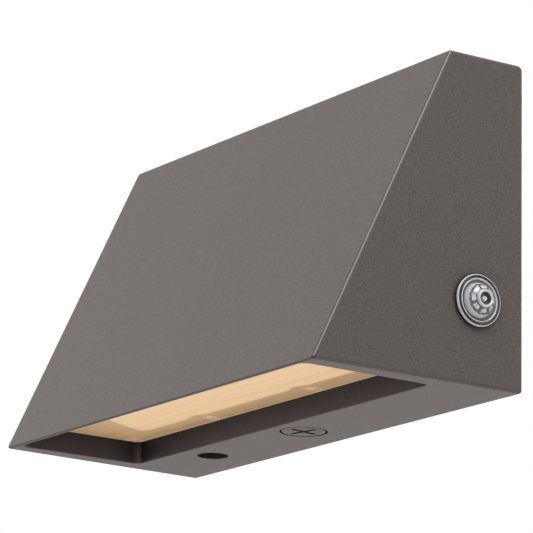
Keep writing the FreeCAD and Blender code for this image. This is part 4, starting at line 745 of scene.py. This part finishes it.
def makePhotocellLens():
    looks = cellLooks
    shape = spinProfile([
        (0, 4.4), (6.3, 4.4), (7.6, 3.5), (7.6, 0.8), (12.35, 0.8), (12.75, 1.2), (12.8, 1.8), (12.6, 2.25),
        (12.25, 2.35), (11.95, 2.05), (11.75, 1.4), (10.95, 1.35), (10.85, 1.9), (10.7, 2.45), (10.4, 2.6),
        (10.15, 2.45), (10.0, 1.9), (8.7, 1.7), (8.5, 2.4), (8.3, 3.1), (7.9, 3.8), (7.5, 4.2), (7.3, 4.5),
        (6.7, 5.05), (6.0, 5.7), (5.0, 6.2), (4.5, 6.6), (4.4, 7.4), (4.2, 7.75), (3.9, 7.9), (3.5, 7.8),
        (3.15, 7.4), (3.05, 6.8), (2.9, 5.2), (1.5, 5.1), (1.45, 6.2), (1.1, 6.7), (0, 6.9)], 72)
    collar = [corner for corner in shape.verts if looks["facetsFrom"] < reachOf(corner) < looks["facetsTo"]
              and corner.co.z > looks["facetsOver"] * mm]
    faceted(collar, looks["facets"], looks["turn"], looks["spread"])
    x = looks["halfWide"] + looks["y"] * math.tan(looks["draft"])
    outwards = Matrix.Rotation(-looks["draft"], 4, "Z") @ Matrix.Rotation(math.pi / 2, 4, "Y")
    place = Matrix.Translation((x * mm, looks["y"] * mm, looks["z"] * mm)) @ outwards
    shape.transform(place)
    lens = finishPiece("photocellLens", shape, "housing", "clearPlastic", ["photocell_lens"],
                       looks["sharp"])
    lens.data.materials.append(finishes["frostedLitPlastic"])
    lens.data.materials.append(finishes["paintedShadePlastic"])
    # the faces get the lighter or the dark finish by zone and facet: painted light and shade for the
    # refractions
    outside = place.inverted()
    for face in lens.data.polygons:
        spot = outside @ face.center
        reach = math.hypot(spot.x, spot.y) / mm
        third = (math.atan2(spot.y, spot.x) + looks["turn"]) % math.tau / math.tau * looks["facets"] * 3
        for low, high, kinds in looks["zones"]:
            if low < reach < high and spot.z > looks["zonesOver"] * mm:
                face.material_index = kinds[int(third) % len(kinds)]


makePhotocellLens()
print("photocell lens made")

plugLooks = {"headR": 11.35, "headTall": 2.2, "threadR": 10.1, "threadDeep": 0.9, "pitch": 1.5, "bore": 7.6,
             "floor": 0.4, "crossLong": 17.0, "crossWide": 2.3, "crossDeep": 1.5, "crossTurn": 10.0}


def makePortPlug():
    looks = plugLooks
    low, high = solidsOf("port_plug")[0]
    tall = (high.z - low.z) / mm
    head, under, thread, bore = looks["headR"], looks["headTall"], looks["threadR"], looks["bore"]
    root = thread - looks["threadDeep"]
    shape = spinProfile([
        (0, 0), (head - 0.5, 0), (head - 0.15, 0.12), (head, 0.45), (head, under), (root, under),
        (root, tall - 0.6), (root - 0.4, tall), (bore, tall), (bore, under + looks["floor"]),
        (0, under + looks["floor"])], 72)
    addThread(shape, root, thread, under + 0.9, tall - 0.2, looks["pitch"], 36)
    middle = (low + high) / 2
    place = Matrix.Translation((middle.x, middle.y, low.z))
    shape.transform(place)
    plug = finishPiece("portPlug", shape, "port_plug", "bronzePlug", ["port_plug"])
    # the cross slot is cut by two bars
    cutter = bmesh.new()
    bar = Matrix.Diagonal((looks["crossLong"] * mm, looks["crossWide"] * mm, 2 * looks["crossDeep"] * mm, 1))
    for turn in (0, 90):
        turned = Matrix.Rotation(math.radians(looks["crossTurn"] + turn), 4, "Z")
        bmesh.ops.create_cube(cutter, size=1, matrix=place @ turned @ bar)
    mesh = bpy.data.meshes.new("crossCutter")
    cutter.to_mesh(mesh)
    cutter.free()
    cross = bpy.data.objects.new("crossCutter", mesh)
    bpy.context.scene.collection.objects.link(cross)
    cut = plug.modifiers.new("cross", "BOOLEAN")
    cut.object = cross
    cut.operation = "DIFFERENCE"
    cut.use_self = True
    cut.solver = "EXACT"
    bpy.context.view_layer.update()
    finished = bpy.data.meshes.new_from_object(plug.evaluated_get(bpy.context.evaluated_depsgraph_get()))
    plug.modifiers.clear()
    plug.data = finished
    bpy.data.objects.remove(cross)


makePortPlug()
print("port plug made")
